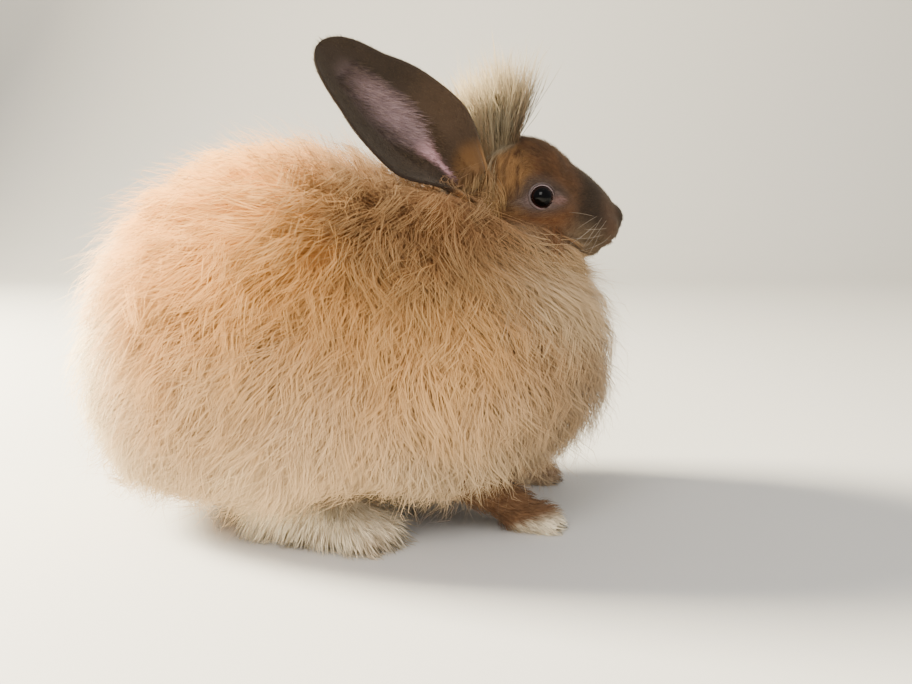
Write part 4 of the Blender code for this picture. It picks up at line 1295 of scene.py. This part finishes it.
def short_fur(name, seed, count, density, lie_of, length, width, lean, shares, long_at=None):
    """Short tufts; lean is how far they stand up, and long_at says where they are longer."""
    draw = np.random.default_rng(seed)
    shares = np.array(shares)
    root, normal, uv, picked = ground.plant(draw, count, density)
    clumps = Clumps(draw, root, count // 7)
    size = length * draw.uniform(0.7, 1.2, count)
    if long_at:
        size *= long_at(root)
    ways = lie_of(root, normal) + normal * lean + draw.normal(0, 0.12, (count, 3))
    tip = root + unit(ways) * size[:, None]
    spine = curves(root, normal, tip, size * 0.22, shares, 0.0004)
    spine[..., 2] = np.maximum(spine[..., 2], FLOOR_GAP)
    tone = np.clip(0.42 + (clumps.chance[:, 0] - 0.5) * 0.5 + draw.normal(0, 0.20, count), 0, 1)
    cup = cup_share(in_cup, ear_along, ear_across)[picked]
    fields = tuft_fields(tone, head=ON_HEAD[picked], cup=cup, ear=on_ear[picked])
    thick = width * draw.uniform(0.7, 1.2, count)
    mesh = tuft_mesh(name, spine, thick, shares, normal, 0.7, root, uv, fields)
    coat_piece(mesh, short_paint)


# %% Lie of the short fur
NOSE = np.array((0.176, 0.0, 0.190))


def face_lie(points, normals):
    """Away from the nose, and turning downwards at the temples."""
    falls = smooth_share(0.116 - points[:, 0], 0.0, 0.012) * smooth_share(points[:, 2], 0.198, 0.206)
    ways = unit(points - NOSE + np.array((0.0, 0.0, -0.01))) * (1 - falls)[:, None]
    return flat_on(ways + np.array((-0.1, 0.0, -1.0)) * falls[:, None], normals)


def ear_lie(points, normals):
    """Towards the tip of the ear on that side."""
    side = np.sign(points[:, 1])
    return flat_on((EAR_TIP - EAR_ROOT) * np.stack([side * side, side, side * side], axis=1), normals)


def cup_lie(points, normals):
    """Across the cup, towards the front margin."""
    return flat_on(np.broadcast_to(np.array((0.9, 0.0, -0.15)), points.shape), normals)


def paw_lie(points, normals):
    return flat_on(np.broadcast_to(np.array((1.0, 0.0, -0.25)), points.shape), normals)


def hind_lie(points, normals):
    """Fluffy: outwards and down, forwards over the toes and backwards over the heel."""
    ahead = 0.7 * smooth_share(points[:, 0], -0.030, 0.015) - 0.25
    outwards, down = 0.45 * np.sign(points[:, 1]), np.full(len(points), -0.50)
    return flat_on(np.stack([ahead, outwards, down], axis=1), normals)


def face_length(points):
    """Shortest on the nose, and longer towards the temples."""
    return 0.5 + 0.8 * smooth_share(0.168 - points[:, 0], 0.0, 0.06)


def cup_length(points):
    """Short in the slit near the ear's root, so that its pink shows."""
    return 0.35 + 0.75 * smooth_share(np.linalg.norm(folded(points) - EAR_ROOT, axis=1), 0.025, 0.060)


# %% Short fur
eye_gap = np.linalg.norm(folded(ground.middle) - EYE_CENTRE - EYE_LOOKS * 0.004, axis=1)
low_cheek = cheeks & (z < cheek_top - 0.0045)
face = (ON_HEAD & (eye_gap > 0.0078) & ~low_cheek) * (1 + 1.0 * (x > 0.095))
ear = (on_ear & (ear_along > 0.13)) * np.where(in_cup, 0.6 + 0.8 * (np.abs(ear_across) > 0.6), 1.0)
cup = in_cup * (np.abs(ear_across + 0.10) < 0.42) * (ear_along < 0.85)
short_fur("fur_face", 31, 34000, face, face_lie, 0.0050, 0.00038, 0.34,
          SPIKE_SHARES, face_length)
short_fur("fur_ears", 32, 17000, ear, ear_lie, 0.0036, 0.00034, 0.24, SPIKE_SHARES)
short_fur("fur_cups", 35, 4000, cup, cup_lie, 0.0075, 0.00024, 0.30,
          SHORT_SHARES, cup_length)
short_fur("fur_forelegs", 33, 5500, FORE, paw_lie, 0.0075, 0.00046, 0.45, SHORT_SHARES)
short_fur("fur_hind_feet", 34, 7500, HIND, hind_lie, 0.0160, 0.00044, 0.85, SHORT_SHARES)
short_fur("fur_soles", 36, 5000, HIND, hind_lie, 0.0085, 0.00055, 0.60, SPIKE_SHARES)

# %% [markdown]
# ## Eyes
#
# A rabbit's eye is large, dark and wet. The ball is coloured in rings round the way that it looks:
# a wide black pupil, a very dark brown iris, a darker rim and a sliver of white. Its smooth surface
# gives the sharp reflection that makes an eye look alive. The lids are a ring of greyish skin that
# hugs the ball, drawn out a little towards the nose, with a painted shadow along the upper rim.

# %% Eyes
EYE_GAZE = unit(np.array((0.06, 1.0, 0.03)))
PUPIL, IRIS_DARK, IRIS_WARM = shade(3, 2, 2), shade(16, 8, 6), shade(40, 18, 12)
EYE_RIM, EYE_WHITE = shade(8, 5, 4), shade(168, 146, 144)
# How far from the way it looks each ring gives way to the next one
PUPIL_EDGE, IRIS_EDGE, RIM_EDGE = (0.0054, 0.0064), (0.0068, 0.0073), (0.0076, 0.0082)
CORNEA_BULGE = 0.0005


def eye_paint(sign):
    paint = Paint(f"eye_{'left' if sign > 0 else 'right'}", 0.06, Specular_IOR_Level=0.14)
    place = paint.field("root", "Vector")
    gaze = (EYE_CENTRE + EYE_GAZE * EYE_RADIUS) * (1, sign, 1)
    far = paint.places("DISTANCE", place, tuple(gaze), output=1)
    iris = paint.mix(paint.noise(place, 1500.0, 3.0), IRIS_DARK, IRIS_WARM)
    colour = PUPIL
    for edge, outer in ((PUPIL_EDGE, iris), (IRIS_EDGE, EYE_RIM), (RIM_EDGE, EYE_WHITE)):
        colour = paint.mix(paint.between(far, *edge), colour, outer)
    paint.colour(colour)
    return paint


def make_eye(side, sign):
    centre, looks = EYE_CENTRE * (1, sign, 1), EYE_LOOKS * (1, sign, 1)
    eye = ball(f"eye_ball_{side}", centre, EYE_RADIUS, 6)
    points = points_of(eye)
    bulge = smooth_share(unit(points - centre) @ looks, 0.75, 1.0)
    set_points(eye, points + looks * (bulge * CORNEA_BULGE)[:, None])
    smooth_faces(eye.data)
    add_field(eye.data, "root", points, "FLOAT_VECTOR")
    eye.data.materials.append(eye_paint(sign).material)
    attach(eye, "root")
    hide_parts(f"eye_{side}")


# %% Lids
LID_ANGLE = math.radians(65)
LID_THICK = 0.0010
LID_GAP = 0.0006
LID_STEPS, LID_PARTS = 64, 12
LID_SHADE_LOW, LID_SHADE_HIGH = 0.001, 0.006  # above the middle of the eye
LID_PINK, LID_BROWN = shade(136, 104, 101), shade(98, 72, 69)
# The upper rim's dark colour is painted shadow of the lid.
LID_PAINTED_SHADOW, LID_OUTER = shade(52, 42, 40), shade(76, 62, 59)


def lid_paint(name, rim):
    paint = Paint(name, 0.45)
    place = paint.field("root", "Vector")
    grain = paint.noise(place, 900.0, 3.0)
    # Above the middle of the eye the lid is darkened: painted shadow of the upper lid.
    low, high = EYE_CENTRE[2] + LID_SHADE_LOW, EYE_CENTRE[2] + LID_SHADE_HIGH
    lid_shadow = paint.between(paint.height(place), low, high)
    edge = paint.mix(lid_shadow, paint.mix(grain, LID_PINK, LID_BROWN), LID_PAINTED_SHADOW)
    far = paint.places("DISTANCE", place, tuple(rim), output=1)
    paint.colour(paint.mix(paint.between(far, 0.0080, 0.0090), edge, LID_OUTER))
    paint.bump(grain, 0.3, 0.0004)
    return paint


def make_lids(side, sign):
    """A ring of skin round the opening of the eye."""
    centre, looks = EYE_CENTRE * (1, sign, 1), EYE_LOOKS * (1, sign, 1)
    ahead = unit(np.array((1.0, 0.0, -0.12)) - looks * looks[0])
    above = np.cross(looks, ahead) * sign
    bm = bmesh.new()
    rings = []
    for turn in np.linspace(0, 2 * math.pi, LID_STEPS, endpoint=False):
        corner = max(0.0, math.cos(turn)) ** 6
        angle = LID_ANGLE + 0.12 * math.cos(turn) ** 2 + 0.10 * corner
        spoke = ahead * math.cos(turn) + above * math.sin(turn)
        out = looks * math.cos(angle) + spoke * math.sin(angle)
        along = np.cross(out, ahead * -math.sin(turn) + above * math.cos(turn))
        thick = LID_THICK * (1.0 + 0.25 * max(0.0, math.sin(turn)))
        middle = centre + out * (EYE_RADIUS + LID_GAP)
        parts = np.linspace(0, 2 * math.pi, LID_PARTS, endpoint=False)
        rings.append([bm.verts.new(middle + out * (math.cos(part) * thick * 0.75)
                                   + along * (math.sin(part) * thick)) for part in parts])
    for low, high in zip(rings, rings[1:] + rings[:1]):
        for k in range(LID_PARTS):
            after = (k + 1) % LID_PARTS
            bm.faces.new((low[k], low[after], high[after], high[k]))
    bmesh.ops.recalc_face_normals(bm, faces=bm.faces)
    lids = from_bmesh(f"lids_{side}", bm)
    smooth_faces(lids.data)
    add_field(lids.data, "root", points_of(lids), "FLOAT_VECTOR")
    lids.data.materials.append(lid_paint(f"lid_skin_{side}", centre + looks * EYE_RADIUS).material)
    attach(lids, "root")


for side, sign in (("left", 1), ("right", -1)):
    make_eye(side, sign)
    make_lids(side, sign)
print("eyes and lids made")

# %% [markdown]
# ## Whiskers
#
# A few long hairs leave the pads of the muzzle. They are thin tapered spikes, slightly bent.

# %% Whiskers
WHISKER_SHARES = np.array((0.0, 0.2, 0.4, 0.6, 0.8, 1.0))
WHISKER_COUNT = 26
WHISKER_WIDTH, WHISKER_RISE = 0.00018, 0.005
WHISKER_SHORT, WHISKER_LONG = 0.022, 0.040


def make_whiskers():
    draw = np.random.default_rng(41)
    pad = ON_HEAD & (x > 0.148) & (x < 0.163) & (z > 0.179) & (z < 0.192) & (np.abs(y) > 0.008)
    count = WHISKER_COUNT
    root, normal, uv, _ = ground.plant(draw, count, pad)
    side = np.sign(root[:, 1])
    ahead, up = draw.uniform(-0.9, -0.2, count), draw.uniform(-0.5, 0.15, count)
    ways = unit(np.stack([ahead, side * 0.6, up], axis=1))
    tip = root + ways * draw.uniform(WHISKER_SHORT, WHISKER_LONG, count)[:, None]
    spine = curves(root, normal, tip, np.full(count, WHISKER_RISE), WHISKER_SHARES, 0.0005)
    width = np.full(count, WHISKER_WIDTH)
    fields = tuft_fields(np.full(count, 0.9))
    mesh = tuft_mesh("whiskers", spine, width, WHISKER_SHARES, normal, 0.2, root, uv, fields, 1.0)
    paint = Paint("whisker", 0.4)
    paint.colour(shade(150, 134, 116))
    coat_piece(mesh, paint)


make_whiskers()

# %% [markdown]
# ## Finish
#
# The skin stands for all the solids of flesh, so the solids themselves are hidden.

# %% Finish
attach(skin, "root")
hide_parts(*[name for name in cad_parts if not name.startswith("eye")])
